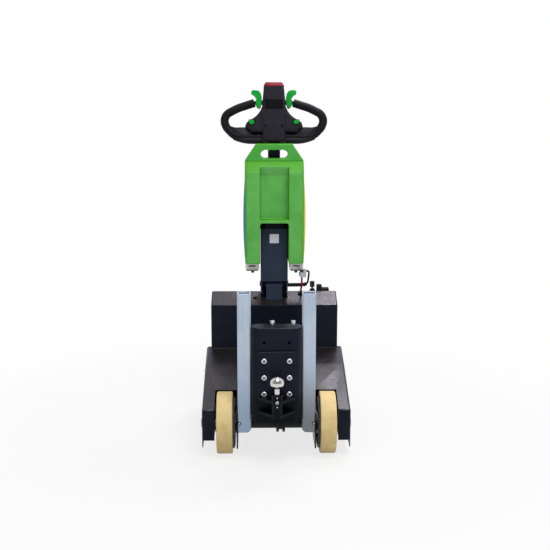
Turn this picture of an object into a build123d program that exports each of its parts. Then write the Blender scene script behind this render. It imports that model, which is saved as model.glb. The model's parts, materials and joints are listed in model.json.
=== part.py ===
from build123d import *
import math
import os

os.makedirs("parts", exist_ok=True)

# Pedestrian electric tug, in millimetres.
# X runs across, Y from the tow ball towards the operator, Z up from the floor.

sides = {"left": -1, "right": 1}

# Clearances
fit = 0.05  # fixed fits, on the radius
run = 0.3  # turning and sliding fits
weld = 0.2  # gap under a sheet that rests on a plate edge
reach = 1  # past a face or an edge, where one is picked or cut by its place

# Corners shared by several pieces
large_corner = 8
medium_corner = 6
small_corner = 3
edge_break = 1

# Drive wheels
wheel_r = 90
tread_width = 46
tread_depth = 16
tread_round = 4
plate_gap = 11.5  # between the tyre and the inner plate
axle_y = -143
axle_z = wheel_r
rim_wall = 6
rim_inset = 1
web_wall = 16
boss_r = 31
hub_draft = 3  # slope where the web meets boss and rim
boss_gap = 1.0  # between the wheel boss and the inner plate
shaft_r = 10
shaft_seat = 39  # of half shaft inside the axle tube
cap_r = 14
cap_length = 3.2

# Deck, a bent sheet over the wheels
deck_side = 36  # of deck outside each wheel slot
deck_wall = 3
deck_bend = 8
deck_front_y = -189
deck_front_z = 141
crease_y = 56
crease_z = 210.5
deck_rear_z = 234
tail_y = 172
skirt_z = 28.5
front_plate_z = 50
slot_gap = 6.5  # between the tyre and the slot's outer side
slot_clear = 7.5  # round the tyre, where it comes up through the deck
box_gap = 5  # behind the tyre, to the wheel box
box_low_z = 62

# Inner plates beside the wheels, and the cross plate that the mast stands on
plate_wall = 4
plate_front_y = -197
plate_low_z = 28
plate_rise_y = -83
plate_rise_end_y = 11
cross_front_y = -179
cross_wall = 6
cross_low_z = 122
cross_top_z = 350
cross_corner = 18

# Base plate and battery-electronics housing
base_z = 128
base_wall = 4
base_tongue_y = 120
housing_width = 400
housing_wall = 3
housing_bend = 5
housing_front_y = 159
housing_rear_y = 310
eave_z = 374
ridge_y = 235
ridge_z = 404
cable_hole_r = 8
cable_hole_x = -60
cable_hole_run = 41  # up the slope from the front eave
gland_x = 86
gland_run = 66
gland_r = 9
gland_height = 7

# Key switch on the operator's side of the roof
key_x = 124
key_run = 12  # down the rear slope from the ridge
key_nut_r = 10
key_nut = 3
key_barrel_r = 8
key_barrel = 6
key_blade = (6, 2.5, 6)
key_bow = (15, 3.5, 19)

# Charge socket beside the key
socket_x = 137.5
socket_y = (6, 28)  # behind the ridge
socket_body = (17, 421.5)  # width and top height
socket_tail = (23, 411)

# Push posts
post_size = 38
post_wall = 3
post_corner = 4
post_gap = 1.3  # between the mast and the post
post_low_z = 83.5
post_top_z = 488.5
post_foot_round = 14

# Mast, coupling plate and ball hitch
mast_width = 143
mast_depth = 60
mast_corner = 22
mast_wall = 4
mast_edge = 3
mast_low_z = 122
mast_top_z = 395
accessory_pitch = 70
accessory_z = 354
accessory_hole_r = 4.2
coupling_width = 105
coupling_wall = 10
coupling_low_z = 154
coupling_top_z = 330
coupling_corner = 4
screw_pitch_x = 71
screw_pitch_z = 48
screw_low_z = 208.5
screw_hole_r = 5.25
ball_y = -290
ball_r = 20
ball_z = 252
ball_stem_r = 7
ball_neck_r = 12
ball_rim_drop = 6  # from the ball's centre to the rim under it
ball_neck = 5
ball_stem_low_z = 158
sleeve_r = 15
sleeve_low_z = 154
sleeve_top_z = 219
hitch_nose_r = 16
hitch_wall = 8
hitch_low_z = 154
hitch_high_z = 194
hitch_web = 8

# Transaxle and motor under the deck
axle_tube_r = 17
case_core_r = 21
case_disc_r = 28
case_disc_wall = 7.5
case_disc_xs = (4, 22)
gear_x = (-10, 36)
gear_y = (-128, -68)
gear_z = (75, 140)
motor_x = 13
motor_z = 112
motor_r = 50
motor_rear_y = 112
motor_bell_r = 44
motor_bell_length = 18

# Castors
castor_x = 115
castor_y = 236
castor_trail = 35
castor_r = 50
castor_width = 32
castor_tread = 10
castor_hub_r = 14
castor_web = 21
castor_draft = 2
castor_side_gap = 5
castor_round = 4
fork_wall = 4
fork_toe_r = 13
fork_bridge_z = 106
fork_bridge_wall = 6
fork_front = 25
fork_rear = 24
race_r = 24
top_plate_size = 84
top_plate_wall = 4
king_r = 6
king_head_r = 10
king_head_wall = 3.5
castor_axle_r = 5
castor_axle_head_r = 8.5
castor_axle_head = 5

# Tiller hinge, foot and column
hinge_y = 218
hinge_z = 432
pin_r = 8
pin_head = 3
foot_width = 51
foot_front_y = 187
foot_rear_y = 232
foot_shoulder_z = 432
foot_round_r = 20
foot_boss_r = 14
column_width = 86
column_wall = 4
column_front_y = 183
column_rear_y = 253
column_toe_z = 414
column_front_z = 446
column_rear_z = 467
column_ear_r = 24
dock_width = 60
dock_front_y = 185
dock_rear_y = 213
dock_height = 22.5
tube_width = 38
tube_front_y = 219
tube_rear_y = 249
tube_wall = 3
tube_corner = 4
tube_seat = 26  # of tube inside the head

# Battery pack
battery_width = 183
battery_clear = 78  # from the housing's ridge to the battery feet
battery_legs = 127.5  # below the dock's top
battery_front_y = 143
battery_rear_y = 217
battery_leg_rear_y = 243
battery_leg_drop = 20  # from the front shoulder to the legs' top
battery_round = 10
battery_rise = 159.5  # from the dock's top to the front shoulder
band_y = 170
band_rise = 32
notch_gap = 1.0
notch_round = 8
recess_width = 88
recess_depth = 28
recess_sill = 10.5  # above the dock
recess_slope_drop = 10  # below the front shoulder
recess_top_rise = 38  # above the front shoulder
handle_front_y = 183
handle_rise = 51.5
handle_top_width = 112
hand_hole_width = 84
hand_hole_height = 25
hand_hole_rise = 19.5
scallop_pitch = 17
scallop_r = 8.5
scallop_rise = 2
handle_round = 5
panel_crown = 5
panel_front_y = 152
panel_rear_y = 227
panel_low_gap = 12
panel_top_gap = 3
foot_pad_x = (48, 91)
foot_pad_y = (163, 228)
foot_pad_height = 26
foot_pad_round = 6
foot_pad_chamfer = 5
connector_x = (79.5, 99.5)
connector_depth = 16
connector_drop = (43, 17)  # below the battery case

# Leads between battery, column and housing
bend_share = 0.45  # of the shorter run beside a bend
black_lead_d = 5
red_lead_d = 6
sleeve_d = 10
sleeve_length = 47
black_lead_route = (
    (99.5, 155, 484),
    (106, 155, 484),
    (107, 158, 471),
    (106, 170, 450),
    (103, 185, 436),
    (92, 194, 432),
    (43, 194, 432),
)
red_lead_route = (
    (86, 155, 465),
    (86, 155, 450),
    (86, 166, 433),
    (86, 190, 423.5),
    (86, 211.2, 421.4),
    (86, 217.72, 404.98),
)

# Tiller head, drawn in its own leaning plane
head_lean = 12  # degrees back from upright
head_y = 232
head_gap = 0.5  # over the battery handle
head_depth = 48
head_round = 8
neck_top = 179.5
neck_top_half = 31
neck_low = 112
neck_low_half = 37
lobe_mid = (47, 91.5)
lobe_start = (68, 73)
lobe_tip = (85.5, 61.5)
lobe_low = (90, 49.5)
lobe_under = (70, 30.5)
stem_half = 36.5
button_cap = 8.5
button_cap_half = 29
button_round = 6.5
button_cap_depth = 38
screen_width = 57
screen_height = 29
screen_mid = 117.5
screen_proud = 1.2
horn_width = 15
horn_height = 12.5
horn_at = (69.5, 61)
horn_proud = 3
grip_d = 26
grip_corners = ((112, 108.5), (161.5, 83), (149, 48), (120, 17.5))
grip_end = (61, 125)
grip_bends = (150, 30, 40, 50)
lever_boss_r = 9
lever_boss_half = 37.3
lever_pin_r = 6
lever_depth = 24
lever_round = 3
lever_outline = (
    (43, 107),
    (51.5, 109),
    (57, 119),
    (55.5, 139),
    (62, 148.5),
    (71, 154),
    (70.5, 161.5),
    (63.5, 164),
    (47.5, 162),
    (40.5, 153),
    (37.8, 141),
    (37.8, 124),
)


def write(piece, name):
    piece.part.label = name
    export_step(piece.part, f"parts/{name}.step")


def deck_under(y):
    """Height of the deck's underside."""
    if y < crease_y:
        slope = (crease_z - deck_front_z) / (crease_y - deck_front_y)
    else:
        slope = (deck_rear_z - crease_z) / (housing_front_y - crease_y)
    return crease_z + slope * (y - crease_y) - deck_wall * math.hypot(1, slope)


def roof_under(y):
    """Height of the housing roof's underside, which is the same either side of the ridge."""
    slope = (ridge_z - eave_z) / (ridge_y - housing_front_y)
    return ridge_z - slope * abs(y - ridge_y) - housing_wall * math.hypot(1, slope)


def across(y, z):
    """A plane that looks along -Y, with its origin over the centre line."""
    return Plane(origin=(0, y, z), x_dir=(1, 0, 0), z_dir=(0, -1, 0))


# Places that follow from the mast outwards
post_x = mast_width / 2 + post_gap + post_size / 2
plate_inner_x = post_x + post_size / 2 + weld
plate_outer_x = plate_inner_x + plate_wall
plate_x = (plate_inner_x + plate_outer_x) / 2
shaft_inner_x = plate_inner_x - shaft_seat
wheel_x = plate_outer_x + plate_gap + tread_width / 2
slot_outer_x = wheel_x + tread_width / 2 + slot_gap
deck_width = 2 * (slot_outer_x + deck_side)

# The slot ends where a circle round the tyre leaves the deck's underside
deck_angle = math.atan2(crease_z - deck_front_z, crease_y - deck_front_y)
axle_drop = (deck_under(axle_y) - axle_z) * math.cos(deck_angle)
slot_half = math.sqrt((wheel_r + slot_clear) ** 2 - axle_drop**2)
slot_rear_y = axle_y - axle_drop * math.sin(deck_angle) + slot_half * math.cos(deck_angle)

# Places that follow from the housing's ridge upwards
battery_low_z = ridge_z + battery_clear + foot_pad_height
dock_top_z = battery_low_z + battery_legs
column_top_z = dock_top_z - dock_height
battery_shoulder_z = dock_top_z + battery_rise
battery_leg_top_z = battery_shoulder_z - battery_leg_drop
band_z = battery_shoulder_z + band_rise
recess_low_z = dock_top_z + recess_sill
recess_slope_z = battery_shoulder_z - recess_slope_drop
recess_top_z = battery_shoulder_z + recess_top_rise
handle_top_z = band_z + handle_rise
hand_hole_z = band_z + hand_hole_rise
panel_low_z = battery_low_z + panel_low_gap
panel_top_z = battery_leg_top_z - panel_top_gap
connector_z = [battery_low_z - drop for drop in connector_drop]
head_z = handle_top_z + head_gap
tube_top_z = head_z + tube_seat

# The roof's planes, and places at the front
roof_angle = math.degrees(math.atan2(ridge_z - eave_z, ridge_y - housing_front_y))
roof = Plane(
    origin=(0, housing_front_y, eave_z),
    x_dir=(1, 0, 0),
    z_dir=(0, -math.sin(math.radians(roof_angle)), math.cos(math.radians(roof_angle))),
)
rear_roof = Plane(origin=(0, ridge_y, ridge_z), x_dir=(-1, 0, 0), z_dir=(0, -roof.z_dir.Y, roof.z_dir.Z))
post_y = cross_front_y - post_size / 2
mast_front_y = cross_front_y - mast_depth
coupling_front_y = mast_front_y - coupling_wall
base_top_z = base_z + base_wall
gland_bore_r = red_lead_d / 2 + run

# Deck cover: bent sheet with wheel slots, a notch for the mast and a cut round the housing
tail_z = deck_rear_z + (deck_rear_z - crease_z) / (housing_front_y - crease_y) * (tail_y - housing_front_y)
with BuildPart() as deck_cover:
    with BuildSketch(Plane.YZ):
        with BuildLine():
            Polyline(
                (deck_front_y, skirt_z),
                (deck_front_y, deck_front_z),
                (crease_y, crease_z),
                (housing_front_y, deck_rear_z),
                (tail_y, tail_z),
                (tail_y, skirt_z),
                close=True,
            )
        make_face()
    extrude(amount=deck_width / 2, both=True)
    side_edges = deck_cover.edges().filter_by(
        lambda e: abs(abs(e.center().X) - deck_width / 2) < 0.1 and e.center().Z > deck_front_z
    )
    front_edges = deck_cover.edges().filter_by(
        lambda e: abs(e.center().Y - deck_front_y) < 0.1 and e.center().Z > skirt_z + reach
    )
    fillet(side_edges + front_edges, radius=deck_bend)
    with BuildSketch(Plane.YZ):
        with BuildLine():
            Polyline(
                (deck_front_y + deck_wall, 0),
                (deck_front_y + deck_wall, deck_under(deck_front_y + deck_wall)),
                (crease_y, deck_under(crease_y)),
                (2 * tail_y, deck_under(2 * tail_y)),
                (2 * tail_y, 0),
                close=True,
            )
        make_face()
    extrude(amount=deck_width / 2 - deck_wall, both=True, mode=Mode.SUBTRACT)
    with BuildSketch(Plane.XY):
        slot_mid_x = (plate_outer_x + slot_outer_x) / 2
        slot_length = wheel_r * 3
        with Locations(*[(s * slot_mid_x, slot_rear_y - slot_length / 2) for s in sides.values()]):
            Rectangle(slot_outer_x - plate_outer_x, slot_length)
        with Locations((0, cross_front_y + cross_wall + run - slot_length / 2)):
            Rectangle(2 * plate_outer_x, slot_length)
        with Locations((0, housing_front_y - run + slot_length / 2)):
            Rectangle(housing_width + 2 * run, slot_length)
    extrude(amount=2 * deck_rear_z, mode=Mode.SUBTRACT)
    with BuildSketch(across(deck_front_y - deck_bend, 0)):
        with Locations((0, front_plate_z / 2)):
            Rectangle(deck_width - 2 * deck_wall, front_plate_z)
    extrude(amount=-2 * deck_bend, mode=Mode.SUBTRACT)
    with BuildSketch(Plane.YZ):
        with Locations((axle_y, axle_z)):
            Circle(shaft_r + run)
    extrude(amount=deck_width, both=True, mode=Mode.SUBTRACT)
write(deck_cover, "deck_cover")

# Inner plates: they carry the axle, the posts and the deck
for name, side in sides.items():
    with BuildPart() as inner_plate:
        with BuildSketch(Plane.YZ.offset(side * plate_x)):
            with BuildLine():
                Polyline(
                    (plate_front_y, plate_low_z),
                    (plate_rise_y, plate_low_z),
                    (plate_rise_end_y, base_z),
                    (housing_front_y - run, base_z),
                    (housing_front_y - run, deck_under(housing_front_y - run) - weld),
                    (crease_y, deck_under(crease_y) - weld),
                    (plate_front_y, deck_under(plate_front_y) - weld),
                    close=True,
                )
            make_face()
            with Locations((axle_y, axle_z)):
                Circle(shaft_r + run, mode=Mode.SUBTRACT)
        extrude(amount=plate_wall / 2, both=True)
    write(inner_plate, f"inner_plate_{name}")

# Wheel boxes: a side wall and a rear wall that close each wheel slot under the deck
box_front_y = deck_front_y + deck_wall + weld
box_rear_y = axle_y + wheel_r + box_gap
box_end_y = box_rear_y + deck_wall
box_inner_x = plate_outer_x + weld
box_outer_x = slot_outer_x + deck_wall
for name, side in sides.items():
    with BuildPart() as wheel_box:
        with BuildSketch(Plane.YZ.offset(side * slot_outer_x)):
            with BuildLine():
                Polyline(
                    (box_front_y, box_low_z),
                    (box_end_y, box_low_z),
                    (box_end_y, deck_under(box_rear_y) - weld),
                    (box_rear_y, deck_under(box_rear_y) - weld),
                    (box_front_y, deck_under(box_front_y) - weld),
                    close=True,
                )
            make_face()
            with Locations((axle_y, axle_z)):
                Circle(shaft_r + run, mode=Mode.SUBTRACT)
        extrude(amount=side * deck_wall)
        rear_height = deck_under(box_rear_y) - weld - skirt_z
        with BuildSketch(across(box_rear_y, skirt_z + rear_height / 2)):
            with Locations((side * (box_inner_x + box_outer_x) / 2, 0)):
                Rectangle(box_outer_x - box_inner_x, rear_height)
        extrude(amount=-deck_wall)
    write(wheel_box, f"wheel_box_{name}")

# Cross plate between the inner plates
with BuildPart() as cross_plate:
    with BuildSketch(across(cross_front_y, 0)) as cross_outline:
        with Locations((0, (cross_low_z + cross_top_z) / 2)):
            Rectangle(2 * plate_inner_x, cross_top_z - cross_low_z)
        fillet(cross_outline.vertices().group_by(Axis.Y)[-1], radius=cross_corner)
    extrude(amount=-cross_wall)
write(cross_plate, "cross_plate")

# Base plate under the housing
with BuildPart() as base_plate:
    with BuildSketch(Plane.XY.offset(base_z)):
        with Locations((0, (housing_front_y + housing_rear_y) / 2)):
            Rectangle(housing_width, housing_rear_y - housing_front_y)
        with Locations((0, (base_tongue_y + housing_front_y) / 2)):
            Rectangle(2 * plate_inner_x, housing_front_y - base_tongue_y)
    extrude(amount=base_wall)
write(base_plate, "base_plate")

# Housing cover: gabled sheet box, open below
with BuildPart() as housing_cover:
    with BuildSketch(Plane.YZ):
        with BuildLine():
            Polyline(
                (housing_front_y, base_top_z),
                (housing_front_y, eave_z),
                (ridge_y, ridge_z),
                (housing_rear_y, eave_z),
                (housing_rear_y, base_top_z),
                close=True,
            )
        make_face()
    extrude(amount=housing_width / 2, both=True)
    end_edges = housing_cover.edges().filter_by(
        lambda e: abs(abs(e.center().X) - housing_width / 2) < 0.1 and e.center().Z > base_top_z + reach
    )
    fillet(end_edges, radius=housing_bend)
    with BuildSketch(Plane.YZ):
        with BuildLine():
            Polyline(
                (housing_front_y + housing_wall, 0),
                (housing_front_y + housing_wall, roof_under(housing_front_y + housing_wall)),
                (ridge_y, roof_under(ridge_y)),
                (housing_rear_y - housing_wall, roof_under(housing_rear_y - housing_wall)),
                (housing_rear_y - housing_wall, 0),
                close=True,
            )
        make_face()
    extrude(amount=housing_width / 2 - housing_wall, both=True, mode=Mode.SUBTRACT)
    with BuildSketch(roof):
        with Locations((cable_hole_x, cable_hole_run)):
            Circle(cable_hole_r)
        with Locations((gland_x, gland_run)):
            Circle(gland_bore_r)
    extrude(amount=-2 * housing_wall, mode=Mode.SUBTRACT)
write(housing_cover, "housing_cover")

# Cable gland on the roof
with BuildPart() as cable_gland:
    with BuildSketch(roof):
        with Locations((gland_x, gland_run)):
            Circle(gland_r)
            Circle(gland_bore_r, mode=Mode.SUBTRACT)
    extrude(amount=gland_height)
    gland_top = cable_gland.faces().sort_by(Axis(roof.origin, roof.z_dir))[-1]
    chamfer(gland_top.outer_wire().edges(), length=2 * edge_break)
write(cable_gland, "cable_gland")

# Key switch with its key
with BuildPart() as key_switch:
    with BuildSketch(rear_roof):
        with Locations((-key_x, -key_run)):
            RegularPolygon(key_nut_r, 6)
    extrude(amount=key_nut)
    with BuildSketch(rear_roof.offset(key_nut)):
        with Locations((-key_x, -key_run)):
            Circle(key_barrel_r)
    extrude(amount=key_barrel)
    with BuildSketch(rear_roof.offset(key_nut + key_barrel)):
        with Locations((-key_x, -key_run)):
            Rectangle(key_blade[0], key_blade[1])
    extrude(amount=key_blade[2])
    with BuildSketch(rear_roof.offset(key_nut + key_barrel + key_blade[2])):
        with Locations((-key_x, -key_run)):
            Rectangle(key_bow[0], key_bow[1])
    extrude(amount=key_bow[2])
write(key_switch, "key_switch")

# Charge socket: a body with a lower tail, cut to the slope of the roof
with BuildPart() as charge_socket:
    with BuildSketch(across(ridge_y + socket_y[0], 0)) as socket_outline:
        with BuildLine():
            Polyline(
                (socket_x, eave_z),
                (socket_x, socket_body[1]),
                (socket_x + socket_body[0], socket_body[1]),
                (socket_x + socket_body[0], socket_tail[1]),
                (socket_x + socket_body[0] + socket_tail[0], socket_tail[1]),
                (socket_x + socket_body[0] + socket_tail[0], eave_z),
                close=True,
            )
        make_face()
        fillet(socket_outline.vertices().group_by(Axis.Y)[-1], radius=small_corner)
        fillet(socket_outline.vertices().group_by(Axis.X)[-1].sort_by(Axis.Y)[-1], radius=small_corner)
    extrude(amount=socket_y[0] - socket_y[1])
    split(bisect_by=rear_roof, keep=Keep.TOP)
write(charge_socket, "charge_socket")

# Push posts: square tubes, each with one rounded lower corner
for name, side in sides.items():
    with BuildPart() as post:
        with BuildSketch(Plane.XY.offset(post_low_z)):
            with Locations((side * post_x, post_y)):
                RectangleRounded(post_size, post_size, post_corner)
                RectangleRounded(
                    post_size - 2 * post_wall,
                    post_size - 2 * post_wall,
                    post_corner - post_wall,
                    mode=Mode.SUBTRACT,
                )
        extrude(amount=post_top_z - post_low_z)
        inner_x = post_x - post_size / 2
        with BuildSketch(across(post_y, post_low_z)):
            with Locations((side * (inner_x + post_foot_round / 2), post_foot_round / 2)):
                Rectangle(post_foot_round, post_foot_round)
            with Locations((side * (inner_x + post_foot_round), post_foot_round)):
                Circle(post_foot_round, mode=Mode.SUBTRACT)
        extrude(amount=post_size, both=True, mode=Mode.SUBTRACT)
    write(post, f"post_{name}")

# Mast: rounded box column, closed on top
with BuildPart() as mast:
    with BuildSketch(Plane.XY.offset(mast_low_z)):
        with Locations((0, cross_front_y - mast_depth / 2)):
            RectangleRounded(mast_width, mast_depth, mast_corner)
    extrude(amount=mast_top_z - mast_low_z)
    fillet(mast.faces().sort_by(Axis.Z)[-1].edges(), radius=mast_edge)
    with BuildSketch(Plane.XY.offset(mast_low_z)):
        with Locations((0, cross_front_y - mast_depth / 2)):
            RectangleRounded(
                mast_width - 2 * mast_wall, mast_depth - 2 * mast_wall, mast_corner - mast_wall
            )
    extrude(amount=mast_top_z - mast_wall - mast_low_z, mode=Mode.SUBTRACT)
    with BuildSketch(across(mast_front_y, accessory_z)):
        with GridLocations(accessory_pitch, 1, 2, 1):
            Circle(accessory_hole_r)
    extrude(amount=-2 * mast_wall, mode=Mode.SUBTRACT)
write(mast, "mast")

# Coupling plate: six holes in two columns
with BuildPart() as coupling_plate:
    with BuildSketch(across(mast_front_y, (coupling_low_z + coupling_top_z) / 2)):
        RectangleRounded(coupling_width, coupling_top_z - coupling_low_z, coupling_corner)
    extrude(amount=coupling_wall)
    with BuildSketch(across(mast_front_y, screw_low_z + screw_pitch_z)):
        with GridLocations(screw_pitch_x, screw_pitch_z, 2, 3):
            Circle(screw_hole_r)
    extrude(amount=coupling_wall, mode=Mode.SUBTRACT)
    chamfer(coupling_plate.faces().sort_by(Axis.Y)[0].outer_wire().edges(), length=edge_break)
write(coupling_plate, "coupling_plate")

# Hitch bracket: two tapering plates, a web and the sleeve that clamps the ball stem
with BuildPart() as hitch_bracket:
    for level in (hitch_low_z, hitch_high_z):
        with BuildSketch(Plane.XY.offset(level)):
            with Locations((0, ball_y)):
                Circle(hitch_nose_r)
            with Locations((0, coupling_front_y - hitch_wall / 2)):
                Rectangle(coupling_width - 2 * edge_break, hitch_wall)
            make_hull()
        extrude(amount=hitch_wall)
    web_height = hitch_high_z + hitch_wall - hitch_low_z
    with BuildSketch(Plane.YZ):
        with Locations(((ball_y + coupling_front_y) / 2, hitch_low_z + web_height / 2)):
            Rectangle(coupling_front_y - ball_y, web_height)
    extrude(amount=hitch_web / 2, both=True)
    with BuildSketch(Plane.XY.offset(sleeve_low_z)):
        with Locations((0, ball_y)):
            Circle(sleeve_r)
    extrude(amount=sleeve_top_z - sleeve_low_z)
    with BuildSketch(Plane.XY.offset(sleeve_low_z)):
        with Locations((0, ball_y)):
            Circle(ball_stem_r + fit)
    extrude(amount=sleeve_top_z - sleeve_low_z, mode=Mode.SUBTRACT)
write(hitch_bracket, "hitch_bracket")

# Tow ball: a dome with a rim, a tapered neck and a stem
with BuildPart() as tow_ball:
    rim_z = ball_z - ball_rim_drop
    rim_r = math.sqrt(ball_r**2 - ball_rim_drop**2)
    with BuildSketch(across(ball_y, 0)):
        with BuildLine():
            Polyline(
                (0, ball_z + ball_r),
                (0, ball_stem_low_z),
                (ball_stem_r, ball_stem_low_z),
                (ball_stem_r, rim_z - 2 * ball_neck),
                (ball_neck_r, rim_z - ball_neck),
                (rim_r, rim_z),
            )
            ThreePointArc((rim_r, rim_z), (ball_r, ball_z), (0, ball_z + ball_r))
        make_face()
    revolve(axis=Axis((0, ball_y, 0), (0, 0, 1)))
write(tow_ball, "tow_ball")

# Transaxle: axle tubes, differential discs and gear case
with BuildPart() as transaxle:
    with BuildSketch(Plane.YZ.offset(-plate_inner_x)):
        with Locations((axle_y, axle_z)):
            Circle(axle_tube_r)
    extrude(amount=2 * plate_inner_x)
    with BuildSketch(Plane.YZ.offset(case_disc_xs[0])):
        with Locations((axle_y, axle_z)):
            Circle(case_core_r)
    extrude(amount=case_disc_xs[1] - case_disc_xs[0])
    for disc_x in case_disc_xs:
        with BuildSketch(Plane.YZ.offset(disc_x)):
            with Locations((axle_y, axle_z)):
                Circle(case_disc_r)
        extrude(amount=case_disc_wall / 2, both=True)
    with BuildSketch(Plane.XZ.offset(-gear_y[0])):
        with Locations(((gear_x[0] + gear_x[1]) / 2, (gear_z[0] + gear_z[1]) / 2)):
            RectangleRounded(gear_x[1] - gear_x[0], gear_z[1] - gear_z[0], large_corner)
    extrude(amount=gear_y[0] - gear_y[1])
    for side in sides.values():
        with BuildSketch(Plane.YZ.offset(side * shaft_inner_x - side * run)):
            with Locations((axle_y, axle_z)):
                Circle(shaft_r + run)
        extrude(amount=side * plate_inner_x, mode=Mode.SUBTRACT)
write(transaxle, "transaxle")

# Drive motor: drum with a smaller end bell
with BuildPart() as drive_motor:
    with BuildSketch(Plane.XZ.offset(-gear_y[1])):
        with Locations((motor_x, motor_z)):
            Circle(motor_r)
    extrude(amount=gear_y[1] - motor_rear_y + motor_bell_length)
    with BuildSketch(Plane.XZ.offset(-motor_rear_y)):
        with Locations((motor_x, motor_z)):
            Circle(motor_bell_r)
    extrude(amount=motor_bell_length)
    fillet(drive_motor.edges().sort_by(Axis.Y)[-1:], radius=small_corner)
write(drive_motor, "drive_motor")

# Drive wheels: polyurethane tread on a cast hub, with the half shaft that turns them
for name, side in sides.items():
    centre = Plane(origin=(side * wheel_x, axle_y, axle_z), x_dir=(side, 0, 0), z_dir=(0, -side, 0))
    turning_axis = Axis((0, axle_y, axle_z), (1, 0, 0))
    tread_inner_r = wheel_r - tread_depth
    half = tread_width / 2
    with BuildPart() as drive_tyre:
        with BuildSketch(centre) as tread:
            with Locations((0, (wheel_r + tread_inner_r) / 2)):
                Rectangle(tread_width, tread_depth)
            fillet(tread.vertices().group_by(Axis.Y)[-1], radius=tread_round)
        revolve(axis=turning_axis)
    write(drive_tyre, f"drive_tyre_{name}")

    rim_r = tread_inner_r - fit
    boss_inner = wheel_x - plate_outer_x - boss_gap
    with BuildPart() as drive_hub:
        with BuildSketch(centre):
            with BuildLine():
                Polyline(
                    (-boss_inner, shaft_r + fit),
                    (-boss_inner, boss_r),
                    (-web_wall / 2, boss_r + hub_draft),
                    (-web_wall / 2, rim_r - rim_wall - hub_draft),
                    (-half + rim_inset, rim_r - rim_wall),
                    (-half + rim_inset, rim_r),
                    (half - rim_inset, rim_r),
                    (half - rim_inset, rim_r - rim_wall),
                    (web_wall / 2, rim_r - rim_wall - hub_draft),
                    (web_wall / 2, boss_r + hub_draft),
                    (half, boss_r),
                    (half, shaft_r + fit),
                    close=True,
                )
            make_face()
        revolve(axis=turning_axis)
    write(drive_hub, f"drive_hub_{name}")

    cap_x = deck_width / 2 + run
    with BuildPart() as half_shaft:
        with BuildSketch(Plane.YZ.offset(side * shaft_inner_x)):
            with Locations((axle_y, axle_z)):
                Circle(shaft_r)
        extrude(amount=side * (cap_x - shaft_inner_x))
        with BuildSketch(Plane.YZ.offset(side * cap_x)):
            with Locations((axle_y, axle_z)):
                Circle(cap_r)
        extrude(amount=side * cap_length)
        chamfer(half_shaft.faces().sort_by(Axis.X)[-1 if side > 0 else 0].edges(), length=edge_break)
    write(half_shaft, f"half_shaft_{name}")

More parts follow.
